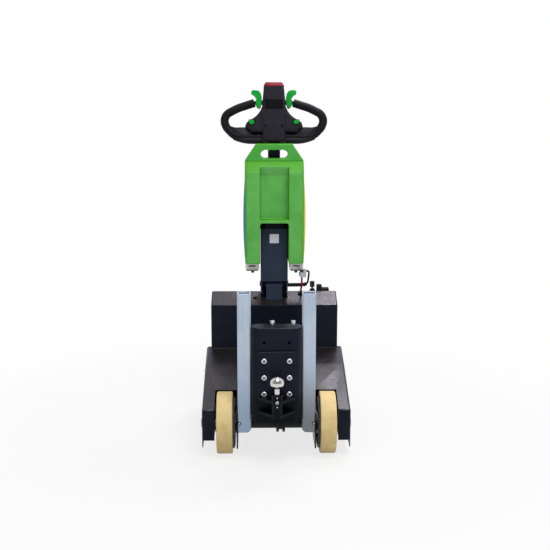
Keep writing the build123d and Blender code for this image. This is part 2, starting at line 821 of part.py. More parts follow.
# Castors: fixed plate and kingpin, swivelling fork, axle bolt and wheel
for name, side in sides.items():
    pivot = (side * castor_x, castor_y)
    castor_axle_y = castor_y - castor_trail
    race_low_z = fork_bridge_z + fork_bridge_wall + run
    with BuildPart() as castor_plate:
        with BuildSketch(Plane.XY.offset(base_z - top_plate_wall)):
            with Locations(pivot):
                RectangleRounded(top_plate_size, top_plate_size, medium_corner)
        extrude(amount=top_plate_wall)
        with BuildSketch(Plane.XY.offset(race_low_z)):
            with Locations(pivot):
                Circle(race_r)
        extrude(amount=base_z - top_plate_wall - race_low_z)
        with BuildSketch(Plane.XY.offset(fork_bridge_z - run)):
            with Locations(pivot):
                Circle(king_r)
        extrude(amount=race_low_z - fork_bridge_z + run)
        with BuildSketch(Plane.XY.offset(fork_bridge_z - run)):
            with Locations(pivot):
                Circle(king_head_r)
        extrude(amount=-king_head_wall)
    write(castor_plate, f"castor_plate_{name}")

    leg_inner = castor_width / 2 + castor_side_gap
    with BuildPart() as castor_fork:
        for leg in sides.values():
            with BuildSketch(Plane.YZ.offset(side * castor_x + leg * leg_inner)):
                with Locations((castor_axle_y, castor_r)):
                    Circle(fork_toe_r)
                bridge_mid = castor_y + (fork_rear - fork_front) / 2
                with Locations((bridge_mid, fork_bridge_z + fork_bridge_wall / 2)):
                    Rectangle(fork_front + fork_rear, fork_bridge_wall)
                make_hull()
                with Locations((castor_axle_y, castor_r)):
                    Circle(castor_axle_r + fit, mode=Mode.SUBTRACT)
            extrude(amount=leg * fork_wall)
        with BuildSketch(Plane.XY.offset(fork_bridge_z)):
            with Locations((side * castor_x, bridge_mid)):
                Rectangle(2 * leg_inner, fork_front + fork_rear)
            with Locations(pivot):
                Circle(king_r + run, mode=Mode.SUBTRACT)
        extrude(amount=fork_bridge_wall)
    write(castor_fork, f"castor_fork_{name}")

    bolt_half = leg_inner + fork_wall
    with BuildPart() as castor_axle:
        with BuildSketch(Plane.YZ.offset(side * castor_x)):
            with Locations((castor_axle_y, castor_r)):
                Circle(castor_axle_r)
        extrude(amount=bolt_half, both=True)
        for end in sides.values():
            with BuildSketch(Plane.YZ.offset(side * castor_x + end * bolt_half)):
                with Locations((castor_axle_y, castor_r)):
                    RegularPolygon(castor_axle_head_r, 6)
            extrude(amount=end * castor_axle_head)
    write(castor_axle, f"castor_axle_{name}")

    spin_axis = Axis((0, castor_axle_y, castor_r), (1, 0, 0))
    castor_centre = Plane(
        origin=(side * castor_x, castor_axle_y, castor_r), x_dir=(1, 0, 0), z_dir=(0, -1, 0)
    )
    tread_r = castor_r - castor_tread
    with BuildPart() as castor_wheel:
        with BuildSketch(castor_centre) as wheel_section:
            with BuildLine():
                Polyline(
                    (-leg_inner + run, castor_axle_r + run),
                    (-leg_inner + run, castor_hub_r),
                    (-castor_web / 2, castor_hub_r + castor_draft),
                    (-castor_web / 2, tread_r - castor_draft),
                    (-castor_width / 2, tread_r),
                    (-castor_width / 2, castor_r),
                    (castor_width / 2, castor_r),
                    (castor_width / 2, tread_r),
                    (castor_web / 2, tread_r - castor_draft),
                    (castor_web / 2, castor_hub_r + castor_draft),
                    (leg_inner - run, castor_hub_r),
                    (leg_inner - run, castor_axle_r + run),
                    close=True,
                )
            make_face()
            fillet(wheel_section.vertices().group_by(Axis.Y)[-1], radius=castor_round)
        revolve(axis=spin_axis)
    write(castor_wheel, f"castor_wheel_{name}")

# Tiller foot on the roof, with bosses that space the column's ears
ear_inner = column_width / 2 - column_wall
with BuildPart() as tiller_foot:
    with BuildSketch(Plane.YZ):
        with Locations((hinge_y, hinge_z)):
            Circle(foot_round_r)
        with Locations(((foot_front_y + foot_rear_y) / 2, (eave_z + foot_shoulder_z) / 2)):
            Rectangle(foot_rear_y - foot_front_y, foot_shoulder_z - eave_z)
        make_hull()
    extrude(amount=foot_width / 2, both=True)
    with BuildSketch(Plane.YZ):
        with Locations((hinge_y, hinge_z)):
            Circle(foot_boss_r)
    extrude(amount=ear_inner - run, both=True)
    with BuildSketch(Plane.YZ):
        with Locations((hinge_y, hinge_z)):
            Circle(pin_r + run)
    extrude(amount=ear_inner, both=True, mode=Mode.SUBTRACT)
    split(bisect_by=roof, keep=Keep.TOP)
write(tiller_foot, "tiller_foot")

# Hinge pin, held in the column's ears
with BuildPart() as hinge_pin:
    with BuildSketch(Plane.YZ):
        with Locations((hinge_y, hinge_z)):
            Circle(pin_r)
    extrude(amount=column_width / 2 + pin_head, both=True)
    pin_ends = hinge_pin.edges().group_by(Axis.X)
    chamfer(pin_ends[0] + pin_ends[-1], length=edge_break)
write(hinge_pin, "hinge_pin")

# Tiller column: folded sheet box with an ear on each side of the foot
with BuildPart() as tiller_column:
    with BuildSketch(Plane.YZ):
        with Locations((hinge_y, hinge_z)):
            Circle(column_ear_r)
        with BuildLine():
            Polyline(
                (column_front_y, column_toe_z),
                (column_front_y, column_top_z),
                (column_rear_y, column_top_z),
                (column_rear_y, column_rear_z),
                close=True,
            )
        make_hull()
    extrude(amount=column_width / 2, both=True)
    fillet(tiller_column.edges().filter_by(Axis.Z), radius=column_wall)
    inner_length = column_top_z - column_wall - hinge_z + 2 * column_ear_r
    inner_low_z = hinge_z - 2 * column_ear_r
    with BuildSketch(Plane.XY.offset(inner_low_z)):
        with Locations((0, (column_front_y + column_rear_y) / 2)):
            Rectangle(2 * ear_inner, column_rear_y - column_front_y - 2 * column_wall)
    extrude(amount=inner_length, mode=Mode.SUBTRACT)
    with BuildSketch(Plane.XY.offset(inner_low_z)):
        with Locations((0, (column_front_y + hinge_y) / 2)):
            Rectangle(2 * ear_inner, hinge_y - column_front_y + reach)
    extrude(amount=column_front_z - inner_low_z, mode=Mode.SUBTRACT)
    with BuildSketch(Plane.XY.offset(inner_low_z)):
        with Locations((0, (column_rear_y + hinge_y) / 2)):
            Rectangle(2 * ear_inner, column_rear_y - hinge_y + reach)
    extrude(amount=column_rear_z - inner_low_z, mode=Mode.SUBTRACT)
    with BuildSketch(Plane.YZ):
        with Locations((hinge_y, hinge_z)):
            Circle(pin_r + fit)
    extrude(amount=column_width, both=True, mode=Mode.SUBTRACT)
write(tiller_column, "tiller_column")

# Dock block that the battery rests on
with BuildPart() as dock_block:
    with BuildSketch(Plane.XY.offset(column_top_z)):
        with Locations((0, (dock_front_y + dock_rear_y) / 2)):
            RectangleRounded(dock_width, dock_rear_y - dock_front_y, small_corner)
    extrude(amount=dock_top_z - column_top_z)
write(dock_block, "dock_block")

# Tiller tube up to the head
with BuildPart() as tiller_tube:
    with BuildSketch(Plane.XY.offset(column_top_z)):
        with Locations((0, (tube_front_y + tube_rear_y) / 2)):
            RectangleRounded(tube_width, tube_rear_y - tube_front_y, tube_corner)
            RectangleRounded(
                tube_width - 2 * tube_wall,
                tube_rear_y - tube_front_y - 2 * tube_wall,
                tube_corner - tube_wall,
                mode=Mode.SUBTRACT,
            )
    extrude(amount=tube_top_z - column_top_z)
write(tiller_tube, "tiller_tube")

# Battery case: straddles the column on two legs, with a recess in its front
notch_half = column_width / 2 + notch_gap
with BuildPart() as battery_case:
    with BuildSketch(Plane.YZ):
        with BuildLine():
            Polyline(
                (battery_front_y, battery_low_z),
                (battery_front_y, battery_shoulder_z),
                (band_y, band_z),
                (battery_rear_y, band_z),
                (battery_rear_y, battery_leg_top_z),
                (battery_leg_rear_y, battery_leg_top_z),
                (battery_leg_rear_y, battery_low_z),
                close=True,
            )
        make_face()
    extrude(amount=battery_width / 2, both=True)
    outer_edges = battery_case.edges().filter_by(
        lambda e: abs(abs(e.center().X) - battery_width / 2) < 0.1
        and e.center().Y < battery_rear_y - reach
        and battery_low_z + reach < e.center().Z < band_z - reach
        and e.center().Y < band_y
    )
    fillet(outer_edges, radius=battery_round)
    with BuildSketch(across(0, 0)) as notch:
        with Locations((0, (battery_low_z + dock_top_z) / 2)):
            Rectangle(2 * notch_half, dock_top_z - battery_low_z)
        fillet(notch.vertices().group_by(Axis.Y)[-1], radius=notch_round)
    extrude(amount=-2 * battery_leg_rear_y, mode=Mode.SUBTRACT)
    with BuildSketch(Plane.XY.offset(battery_low_z)):
        with Locations((0, (battery_rear_y + battery_leg_rear_y) / 2)):
            Rectangle(2 * notch_half, battery_leg_rear_y - battery_rear_y)
    extrude(amount=battery_leg_top_z - battery_low_z, mode=Mode.SUBTRACT)
    recess_y = battery_front_y + recess_depth
    with BuildSketch(Plane.YZ):
        with BuildLine():
            Polyline(
                (battery_front_y - reach, recess_low_z),
                (recess_y, recess_low_z),
                (recess_y, recess_slope_z),
                (battery_front_y - reach, recess_top_z),
                close=True,
            )
        make_face()
    extrude(amount=recess_width / 2, both=True, mode=Mode.SUBTRACT)
write(battery_case, "battery_case")

# Battery handle: tapered top with a hand hole
with BuildPart() as battery_handle:
    with BuildSketch(Plane.YZ):
        with BuildLine():
            Polyline(
                (band_y, band_z),
                (handle_front_y, handle_top_z),
                (battery_rear_y, handle_top_z),
                (battery_rear_y, band_z),
                close=True,
            )
        make_face()
    extrude(amount=battery_width / 2, both=True)
    with BuildSketch(across(0, 0)):
        with BuildLine():
            Polyline(
                (-battery_width / 2, band_z),
                (-handle_top_width / 2, handle_top_z),
                (handle_top_width / 2, handle_top_z),
                (battery_width / 2, band_z),
                close=True,
            )
        make_face()
        with Locations((0, hand_hole_z)):
            SlotOverall(hand_hole_width, hand_hole_height, mode=Mode.SUBTRACT)
        with Locations((0, hand_hole_z + hand_hole_height / 2 + scallop_rise - scallop_r)):
            with GridLocations(scallop_pitch, 1, 4, 1):
                Circle(scallop_r, mode=Mode.SUBTRACT)
    extrude(amount=-2 * battery_rear_y, mode=Mode.INTERSECT)
    rim_edges = battery_handle.edges().filter_by(
        lambda e: abs(e.center().X) < reach and e.center().Z > handle_top_z - reach
    )
    fillet(rim_edges, radius=handle_round)
write(battery_handle, "battery_handle")

# Crowned side panels of the battery
for name, side in sides.items():
    with BuildPart() as side_panel:
        with BuildSketch(across(panel_front_y, 0)):
            with BuildLine():
                face_x = side * battery_width / 2
                Line((face_x, panel_low_z), (face_x, panel_top_z))
                ThreePointArc(
                    (face_x, panel_low_z),
                    (face_x + side * panel_crown, (panel_low_z + panel_top_z) / 2),
                    (face_x, panel_top_z),
                )
            make_face()
        extrude(amount=panel_front_y - panel_rear_y)
    write(side_panel, f"battery_panel_{name}")

# Metal feet under the battery legs
for name, side in sides.items():
    pad_width = foot_pad_x[1] - foot_pad_x[0]
    pad_length = foot_pad_y[1] - foot_pad_y[0]
    with BuildPart() as battery_foot:
        with BuildSketch(Plane.XY.offset(battery_low_z)):
            with Locations((side * sum(foot_pad_x) / 2, sum(foot_pad_y) / 2)):
                RectangleRounded(pad_width, pad_length, foot_pad_round)
        extrude(amount=-foot_pad_height)
        chamfer(battery_foot.faces().sort_by(Axis.Z)[0].edges(), length=foot_pad_chamfer)
    write(battery_foot, f"battery_foot_{name}")

# Battery connector, held on the front of the right foot
with BuildPart() as battery_connector:
    with BuildSketch(across(foot_pad_y[0], sum(connector_z) / 2)):
        with Locations((sum(connector_x) / 2, 0)):
            RectangleRounded(connector_x[1] - connector_x[0], connector_z[1] - connector_z[0], small_corner)
    extrude(amount=connector_depth)
write(battery_connector, "battery_connector")


def write_lead(route, diameter, name, sleeve_length=0):
    """A lead as straight runs joined by arcs, with a sleeve over its last run if a length is given."""
    points = [Vector(*point) for point in route]
    radii = []
    for before, corner, after in zip(points, points[1:], points[2:]):
        turn = math.radians((corner - before).get_angle(after - corner))
        shorter = min((corner - before).length, (after - corner).length)
        radii.append(bend_share * shorter / math.tan(turn / 2))
    with BuildPart() as lead:
        with BuildLine():
            FilletPolyline(*points, radius=radii)
        with BuildSketch(Plane(origin=points[0], z_dir=points[1] - points[0])):
            Circle(diameter / 2)
        sweep()
        if sleeve_length:
            with BuildSketch(Plane(origin=points[-1], z_dir=points[-2] - points[-1])):
                Circle(sleeve_d / 2)
            extrude(amount=sleeve_length)
    write(lead, name)


write_lead(black_lead_route, black_lead_d, "black_lead", sleeve_length)
write_lead(red_lead_route, red_lead_d, "red_lead")

# Tiller head, in a plane whose Y leans back along the tiller
lean = math.radians(head_lean)
head_plane = Plane(origin=(0, head_y, head_z), x_dir=(1, 0, 0), z_dir=(0, -math.cos(lean), math.sin(lean)))
head_up = Axis(head_plane.origin, head_plane.y_dir)
head_out = Axis(head_plane.origin, head_plane.z_dir)
with BuildPart() as head_body:
    with BuildSketch(head_plane):
        with BuildLine():
            Polyline((0, neck_top), (neck_top_half, neck_top), (neck_low_half, neck_low))
            ThreePointArc((neck_low_half, neck_low), lobe_mid, lobe_start)
            Polyline(
                lobe_start,
                lobe_tip,
                lobe_low,
                lobe_under,
                (stem_half, lobe_under[1]),
                (stem_half, 0),
                (0, 0),
            )
            mirror(about=Plane.YZ)
        make_face()
    extrude(amount=head_depth / 2, both=True)
    rim = head_body.faces().filter_by(head_out).edges()
    fillet(rim, radius=head_round)
    with BuildSketch(Plane(origin=head_plane.from_local_coords((0, grip_end[1], 0)), z_dir=(1, 0, 0))):
        Circle(lever_boss_r)
    extrude(amount=lever_boss_half, both=True)
    with BuildSketch(Plane.XY.offset(tube_top_z)):
        with Locations((0, (tube_front_y + tube_rear_y) / 2)):
            RectangleRounded(tube_width + 2 * fit, tube_rear_y - tube_front_y + 2 * fit, tube_corner)
    extrude(amount=column_top_z - tube_top_z, mode=Mode.SUBTRACT)
write(head_body, "head_body")

# Red push cap on the end of the head
with BuildPart() as belly_button:
    neck_end = head_plane.from_local_coords((0, neck_top, 0))
    with BuildSketch(Plane(origin=neck_end, x_dir=(1, 0, 0), z_dir=head_plane.y_dir)):
        RectangleRounded(2 * button_cap_half, button_cap_depth, head_round)
    extrude(amount=button_cap)
    fillet(belly_button.faces().sort_by(head_up)[-1].edges(), radius=button_round)
write(belly_button, "belly_button")

# Display panel and horn buttons on the head's face
head_face = head_plane.offset(head_depth / 2)
with BuildPart() as display_panel:
    with BuildSketch(head_face):
        with Locations((0, screen_mid)):
            RectangleRounded(screen_width, screen_height, small_corner)
    extrude(amount=screen_proud)
write(display_panel, "display_panel")

for name, side in sides.items():
    with BuildPart() as horn_button:
        with BuildSketch(head_face):
            with Locations((side * horn_at[0], horn_at[1])):
                RectangleRounded(horn_width, horn_height, small_corner)
        extrude(amount=horn_proud)
        fillet(horn_button.faces().sort_by(head_out)[-1].edges(), radius=edge_break)
    write(horn_button, f"horn_button_{name}")

# Closed-loop grips, each with the short pin that joins its upper end to the head
for name, side in sides.items():
    path = [(side * a, b) for a, b in (grip_end, *grip_corners, (stem_half, grip_corners[-1][1]))]
    start = head_plane.from_local_coords((*path[0], 0))
    start_way = head_plane.from_local_coords((*path[1], 0)) - start
    with BuildPart() as grip:
        with BuildLine(head_plane):
            FilletPolyline(*path, radius=grip_bends)
        with BuildSketch(Plane(origin=start, z_dir=start_way)):
            Circle(grip_d / 2)
        sweep()
        with BuildSketch(Plane(origin=(side * lever_boss_half, start.Y, start.Z), z_dir=(side, 0, 0))):
            Circle(lever_pin_r)
        extrude(amount=grip_end[0] + lever_pin_r - lever_boss_half)
    write(grip, f"grip_{name}")

# Thumb levers on the grip pins: a hub beside the neck and a paddle that turns outwards
for name, side in sides.items():
    with BuildPart() as thumb_lever:
        with BuildSketch(head_plane) as lever:
            with BuildLine():
                Polyline(*[(side * a, b) for a, b in lever_outline], close=True)
            make_face()
            fillet(lever.vertices(), radius=lever_round)
        extrude(amount=lever_depth / 2, both=True)
        pin_level = head_plane.from_local_coords((0, grip_end[1], 0))
        with BuildSketch(Plane(origin=pin_level, z_dir=(side, 0, 0))):
            Circle(lever_pin_r + fit)
        extrude(amount=grip_end[0], mode=Mode.SUBTRACT)
    write(thumb_lever, f"thumb_lever_{name}")
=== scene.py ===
import json
import math

import bmesh
import bpy
from mathutils import Matrix, Vector


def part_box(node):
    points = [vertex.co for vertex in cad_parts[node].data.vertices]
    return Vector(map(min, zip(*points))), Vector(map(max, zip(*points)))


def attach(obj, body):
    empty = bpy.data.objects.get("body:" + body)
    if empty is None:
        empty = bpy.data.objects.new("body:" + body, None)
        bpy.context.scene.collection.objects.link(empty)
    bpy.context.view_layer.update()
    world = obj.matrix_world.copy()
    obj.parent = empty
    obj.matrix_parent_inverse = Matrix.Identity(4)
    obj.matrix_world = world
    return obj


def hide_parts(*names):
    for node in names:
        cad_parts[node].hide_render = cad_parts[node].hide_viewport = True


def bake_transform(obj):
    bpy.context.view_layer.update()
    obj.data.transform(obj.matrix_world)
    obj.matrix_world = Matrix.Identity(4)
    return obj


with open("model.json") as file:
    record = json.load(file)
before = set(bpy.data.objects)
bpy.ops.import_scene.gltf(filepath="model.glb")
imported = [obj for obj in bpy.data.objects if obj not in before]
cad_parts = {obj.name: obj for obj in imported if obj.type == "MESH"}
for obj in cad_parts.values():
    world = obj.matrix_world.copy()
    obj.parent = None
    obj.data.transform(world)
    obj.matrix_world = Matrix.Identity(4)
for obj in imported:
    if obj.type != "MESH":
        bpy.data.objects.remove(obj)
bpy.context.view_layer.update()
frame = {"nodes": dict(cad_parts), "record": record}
nodes = frame["nodes"]
scene = bpy.context.scene
scene.view_settings.view_transform = "Standard"

# Camera: a long lens a little above the battery, pitched down, as in the photograph
lens_pixels = 1069.5
frame_pixels = 550
camera_data = bpy.data.cameras.new("camera")
camera_data.sensor_width = 36
camera_data.lens = lens_pixels * camera_data.sensor_width / frame_pixels
camera = bpy.data.objects.new("camera", camera_data)
camera.location = (-0.055, -3.1384, 1.1028)
pitch_down = math.radians(10.85)
turn_right = math.radians(0.99)
camera.rotation_euler = (math.pi / 2 - pitch_down, 0, -turn_right)
scene.collection.objects.link(camera)
scene.camera = camera


# Materials
class Nodes:
    """A material's node tree with short calls for the nodes used here."""

    def __init__(self, name):
        self.material = bpy.data.materials.new(name)
        self.material.use_nodes = True
        self.tree = self.material.node_tree
        self.shader = self.tree.nodes["Principled BSDF"]
        self.coords = self.tree.nodes.new("ShaderNodeTexCoord").outputs["Object"]

    def node(self, kind, **inputs):
        made = self.tree.nodes.new(kind)
        for key, value in inputs.items():
            self.put(made.inputs[key.replace("_", " ")], value)
        return made

    def put(self, socket, value):
        if isinstance(value, bpy.types.NodeSocket):
            self.tree.links.new(value, socket)
        else:
            socket.default_value = value

    def stretched(self, scale):
        mapping = self.node("ShaderNodeMapping", Vector=self.coords)
        mapping.inputs["Scale"].default_value = scale
        return mapping.outputs["Vector"]

    def noise(self, scale, detail=4.0, rough=0.55, stretch=None, distortion=0.0):
        vector = self.coords if stretch is None else self.stretched(stretch)
        made = self.node("ShaderNodeTexNoise", Vector=vector, Scale=scale, Detail=detail)
        self.put(made.inputs["Roughness"], rough)
        self.put(made.inputs["Distortion"], distortion)
        return made.outputs["Fac"]

    def cells(self, scale):
        made = self.node("ShaderNodeTexVoronoi", Vector=self.coords, Scale=scale)
        return made.outputs["Distance"]

    def ranged(self, value, low, high, to_low=0.0, to_high=1.0):
        made = self.node("ShaderNodeMapRange")
        made.interpolation_type = "SMOOTHSTEP"
        for key, number in (("From Min", low), ("From Max", high), ("To Min", to_low), ("To Max", to_high)):
            made.inputs[key].default_value = number
        self.put(made.inputs["Value"], value)
        return made.outputs["Result"]

    def math(self, kind, a, b=0.0):
        made = self.tree.nodes.new("ShaderNodeMath")
        made.operation = kind
        self.put(made.inputs[0], a)
        self.put(made.inputs[1], b)
        return made.outputs["Value"]

    def mixed(self, factor, a, b):
        made = self.tree.nodes.new("ShaderNodeMix")
        made.data_type = "RGBA"
        self.put(made.inputs[0], factor)
        self.put(made.inputs[6], a)
        self.put(made.inputs[7], b)
        return made.outputs[2]

    def facing(self, axis):
        """How far the surface faces an axis of its own object, from -1 to 1."""
        normal = self.tree.nodes.new("ShaderNodeTexCoord").outputs["Normal"]
        split = self.node("ShaderNodeSeparateXYZ", Vector=normal)
        return split.outputs[axis]

    def place(self, axis):
        """The surface point's place along an axis, in metres."""
        split = self.node("ShaderNodeSeparateXYZ", Vector=self.coords)
        return split.outputs[axis]

    def bump(self, height, strength, distance):
        made = self.node("ShaderNodeBump", Height=height, Strength=strength, Distance=distance)
        return made.outputs["Normal"]

    def finish(self, **socket_shade_floors):
        for key, value in socket_shade_floors.items():
            self.put(self.shader.inputs[key.replace("_", " ")], value)
        return self.material


def rgb(r, g, b):
    return (r, g, b, 1.0)


def powder_coat(name, dark, pale, painted_sheen=None, rough=(0.36, 0.45), grain=1500.0, painted_shade=None):
    """Powder coat: fine orange peel, a painted sheen on upward faces in place of reflected light, and a
    painted shade on the mast's foot and left edge.
    """
    n = Nodes(name)
    cloud = n.ranged(n.noise(22.0, 5.0, 0.6), 0.35, 0.7)
    speck = n.ranged(n.noise(grain, 2.0, 0.5), 0.58, 0.72)
    colour = n.mixed(n.math("MULTIPLY", cloud, 0.6), dark, pale)
    colour = n.mixed(n.math("MULTIPLY", speck, 0.25), colour, pale)
    if painted_sheen:
        # Painted sheen: upward faces take a lighter, metallic tone in place of reflected light
        upward = n.ranged(n.facing("Z"), 0.5, 0.92)
        painted_sheen_mask = n.math("MULTIPLY", upward, n.ranged(n.noise(7.0, 6.0, 0.65), 0.25, 0.75, 0.8, 1.0))
        colour = n.mixed(painted_sheen_mask, colour, painted_sheen)
        n.finish(Metallic=n.math("MULTIPLY", painted_sheen_mask, 0.95))
    if painted_shade:
        # Painted shade: darker below about 0.2 m and along the left edge
        foot = n.ranged(n.place("Z"), 0.185, 0.207, 1.0, 0.0)
        edge = n.ranged(n.place("X"), -0.066, -0.053, 0.8, 0.0)
        colour = n.mixed(n.math("MAXIMUM", foot, edge), colour, painted_shade)
    peel = n.math("ADD", n.math("MULTIPLY", n.noise(420.0, 2.0), 0.6), n.noise(grain, 2.0))
    return n.finish(
        Base_Color=colour,
        Roughness=n.ranged(n.noise(60.0, 4.0), 0.3, 0.7, *rough),
        Specular_IOR_Level=0.14,
        Specular_Tint=rgb(0.70, 0.80, 1.0),
        Normal=n.bump(peel, 0.10, 0.0004),
    )


def moulded(name, dark, pale, rough=(0.45, 0.6), grain=1300.0, depth=0.2, specular=0.4, mottle=30.0):
    """Moulded plastic or rubber: two close tones in soft clouds under a fine grain."""
    n = Nodes(name)
    cloud = n.ranged(n.noise(mottle, 5.0, 0.6), 0.3, 0.7)
    fine = n.noise(grain, 3.0, 0.6)
    return n.finish(
        Base_Color=n.mixed(cloud, dark, pale),
        Roughness=n.ranged(n.noise(80.0, 4.0), 0.3, 0.7, *rough),
        Specular_IOR_Level=specular,
        Normal=n.bump(fine, depth, 0.0003),
    )


def metal(name, dark, pale, rough=(0.2, 0.35), brush=None, mottle=45.0, depth=0.08):
    """Bare or plated metal: cloudy tone, with brushing lines where a stretch is given."""
    n = Nodes(name)
    cloud = n.ranged(n.noise(mottle, 5.0, 0.65), 0.3, 0.7)
    lines = n.noise(900.0, 3.0, 0.6, stretch=brush or (1.0, 1.0, 1.0))
    return n.finish(
        Base_Color=n.mixed(cloud, dark, pale),
        Metallic=1.0,
        Roughness=n.ranged(lines, 0.3, 0.7, *rough),
        Normal=n.bump(lines, depth, 0.0002),
    )


# The grey of the painted sheen, a reflection painted onto upward faces
painted_sheen_grey = rgb(0.068, 0.061, 0.063)
black_coat = powder_coat(
    "black_coat", rgb(0.0053, 0.0065, 0.0130), rgb(0.0085, 0.0098, 0.0180), painted_sheen_grey, (0.27, 0.35)
)
# The mast's coat: a weaker painted sheen on its top, and painted shade on its foot and left edge
mast_coat = powder_coat(
    "mast_coat",
    rgb(0.0058, 0.0074, 0.0152),
    rgb(0.0092, 0.0108, 0.0206),
    painted_sheen=rgb(0.030, 0.026, 0.025),
    rough=(0.30, 0.38),
    painted_shade=rgb(0.0004, 0.0004, 0.0007),
)
# A darker copy of the black coat with no sheen: painted shade for the hitch, wheel boxes, dock block, foot
# ribs and welds
shaded_black = powder_coat("shaded_black", rgb(0.0012, 0.0013, 0.0022), rgb(0.0030, 0.0032, 0.0048))
column_coat = powder_coat("column_coat", rgb(0.0260, 0.0370, 0.0610), rgb(0.0325, 0.0455, 0.0730))
black_plastic = moulded(
    "black_plastic", rgb(0.0095, 0.0088, 0.0145), rgb(0.014, 0.013, 0.020), (0.42, 0.55), 1700.0, 0.3, 0.16
)
grip_foam = moulded(
    "grip_foam", rgb(0.0040, 0.0038, 0.0056), rgb(0.0070, 0.0066, 0.0088), (0.45, 0.6), 900.0, 0.4, 0.14
)
motor_black = moulded(
    "motor_black", rgb(0.006, 0.006, 0.008), rgb(0.012, 0.012, 0.014), (0.35, 0.5), 700.0, 0.12, 0.2
)
gear_black = moulded(
    "gear_black", rgb(0.005, 0.005, 0.006), rgb(0.016, 0.015, 0.015), (0.45, 0.65), 350.0, 0.35, 0.2
)
screen_black = moulded(
    "screen_black", rgb(0.0030, 0.0032, 0.0050), rgb(0.0055, 0.0058, 0.0080), (0.16, 0.26), 300.0, 0.02, 0.14
)
seam_black = moulded(
    "seam_black", rgb(0.002, 0.002, 0.0025), rgb(0.004, 0.004, 0.005), (0.6, 0.8), 900.0, 0.2, 0.1
)
cable_black = moulded(
    "cable_black", rgb(0.006, 0.006, 0.008), rgb(0.011, 0.011, 0.013), (0.35, 0.5), 900.0, 0.1, 0.25
)
cable_red = moulded("cable_red", rgb(0.26, 0.008, 0.022), rgb(0.36, 0.012, 0.030), (0.35, 0.5), 900.0, 0.1)
connector_grey = moulded(
    "connector_grey", rgb(0.36, 0.40, 0.45), rgb(0.50, 0.54, 0.60), (0.35, 0.5), 1200.0, 0.15
)
control_green = moulded(
    "control_green", rgb(0.002, 0.268, 0.025), rgb(0.004, 0.325, 0.034), (0.32, 0.44), 600.0, 0.05, 0.10
)
button_red = moulded(
    "button_red", rgb(0.18, 0.004, 0.019), rgb(0.25, 0.007, 0.026), (0.30, 0.42), 600.0, 0.06, 0.2
)
panel_blue = moulded(
    "panel_blue", rgb(0.018, 0.185, 0.51), rgb(0.022, 0.205, 0.54), (0.25, 0.38), 500.0, 0.05, 0.5
)
panel_yellow = moulded(
    "panel_yellow", rgb(0.71, 0.525, 0.018), rgb(0.75, 0.555, 0.022), (0.25, 0.38), 500.0, 0.05, 0.5
)
white_plate = moulded("white_plate", rgb(0.66, 0.66, 0.75), rgb(0.74, 0.74, 0.82), (0.3, 0.45), 800.0, 0.03)
rim_grey = moulded(
    "rim_grey", rgb(0.022, 0.021, 0.020), rgb(0.055, 0.052, 0.050), (0.4, 0.55), 500.0, 0.2, 0.3
)
castor_rubber = moulded(
    "castor_rubber", rgb(0.020, 0.020, 0.022), rgb(0.040, 0.039, 0.038), (0.6, 0.8), 500.0, 0.3, 0.3
)
bright_steel = metal(
    "bright_steel", rgb(0.62, 0.61, 0.60), rgb(0.74, 0.73, 0.73), (0.10, 0.20), (1.0, 1.0, 6.0)
)
screw_zinc = metal("screw_zinc", rgb(0.62, 0.64, 0.68), rgb(0.78, 0.79, 0.82), (0.22, 0.36), None, 120.0)
zinc_fittings = metal(
    "zinc_fittings", rgb(0.50, 0.51, 0.52), rgb(0.64, 0.65, 0.66), (0.30, 0.45), None, 60.0, 0.15
)
shaft_steel = metal(
    "shaft_steel", rgb(0.15, 0.15, 0.16), rgb(0.24, 0.24, 0.25), (0.30, 0.45), None, 70.0, 0.15
)
cast_hub = metal("cast_hub", rgb(0.56, 0.57, 0.58), rgb(0.70, 0.71, 0.72), (0.38, 0.55), None, 90.0, 0.4)
cast_foot = metal("cast_foot", rgb(0.66, 0.65, 0.62), rgb(0.78, 0.77, 0.74), (0.40, 0.55), None, 80.0, 0.4)


def zinc_post():
    """Blue-passivated zinc: soft vertical blotches, fine drawing lines, and painted shade darkening the foot,
    bluish on the left post and grey on the right.
    """
    n = Nodes("zinc_post")
    blotch = n.ranged(n.noise(26.0, 5.0, 0.62, stretch=(1.0, 1.0, 0.35), distortion=0.6), 0.32, 0.68)
    cloud = n.ranged(n.noise(9.0, 3.0, 0.5), 0.3, 0.7)
    lines = n.noise(500.0, 2.0, 0.5, stretch=(1.0, 1.0, 0.02))
    colour = n.mixed(blotch, rgb(0.445, 0.53, 0.64), rgb(0.56, 0.64, 0.745))
    colour = n.mixed(n.math("MULTIPLY", cloud, 0.35), colour, rgb(0.39, 0.48, 0.65))
    # Painted shade towards the foot: bluish on the left post, grey on the right
    foot = n.ranged(n.place("Z"), 0.10, 0.32, 1.0, 0.0)
    painted_foot_shade = n.mixed(n.ranged(n.place("X"), -0.05, 0.05), rgb(0.25, 0.33, 0.46), rgb(0.125, 0.128, 0.138))
    colour = n.mixed(n.math("MULTIPLY", foot, 0.85), colour, painted_foot_shade)
    return n.finish(
        Base_Color=colour,
        Metallic=0.55,
        Roughness=n.ranged(blotch, 0.0, 1.0, 0.34, 0.48),
        Normal=n.bump(lines, 0.06, 0.0002),
    )


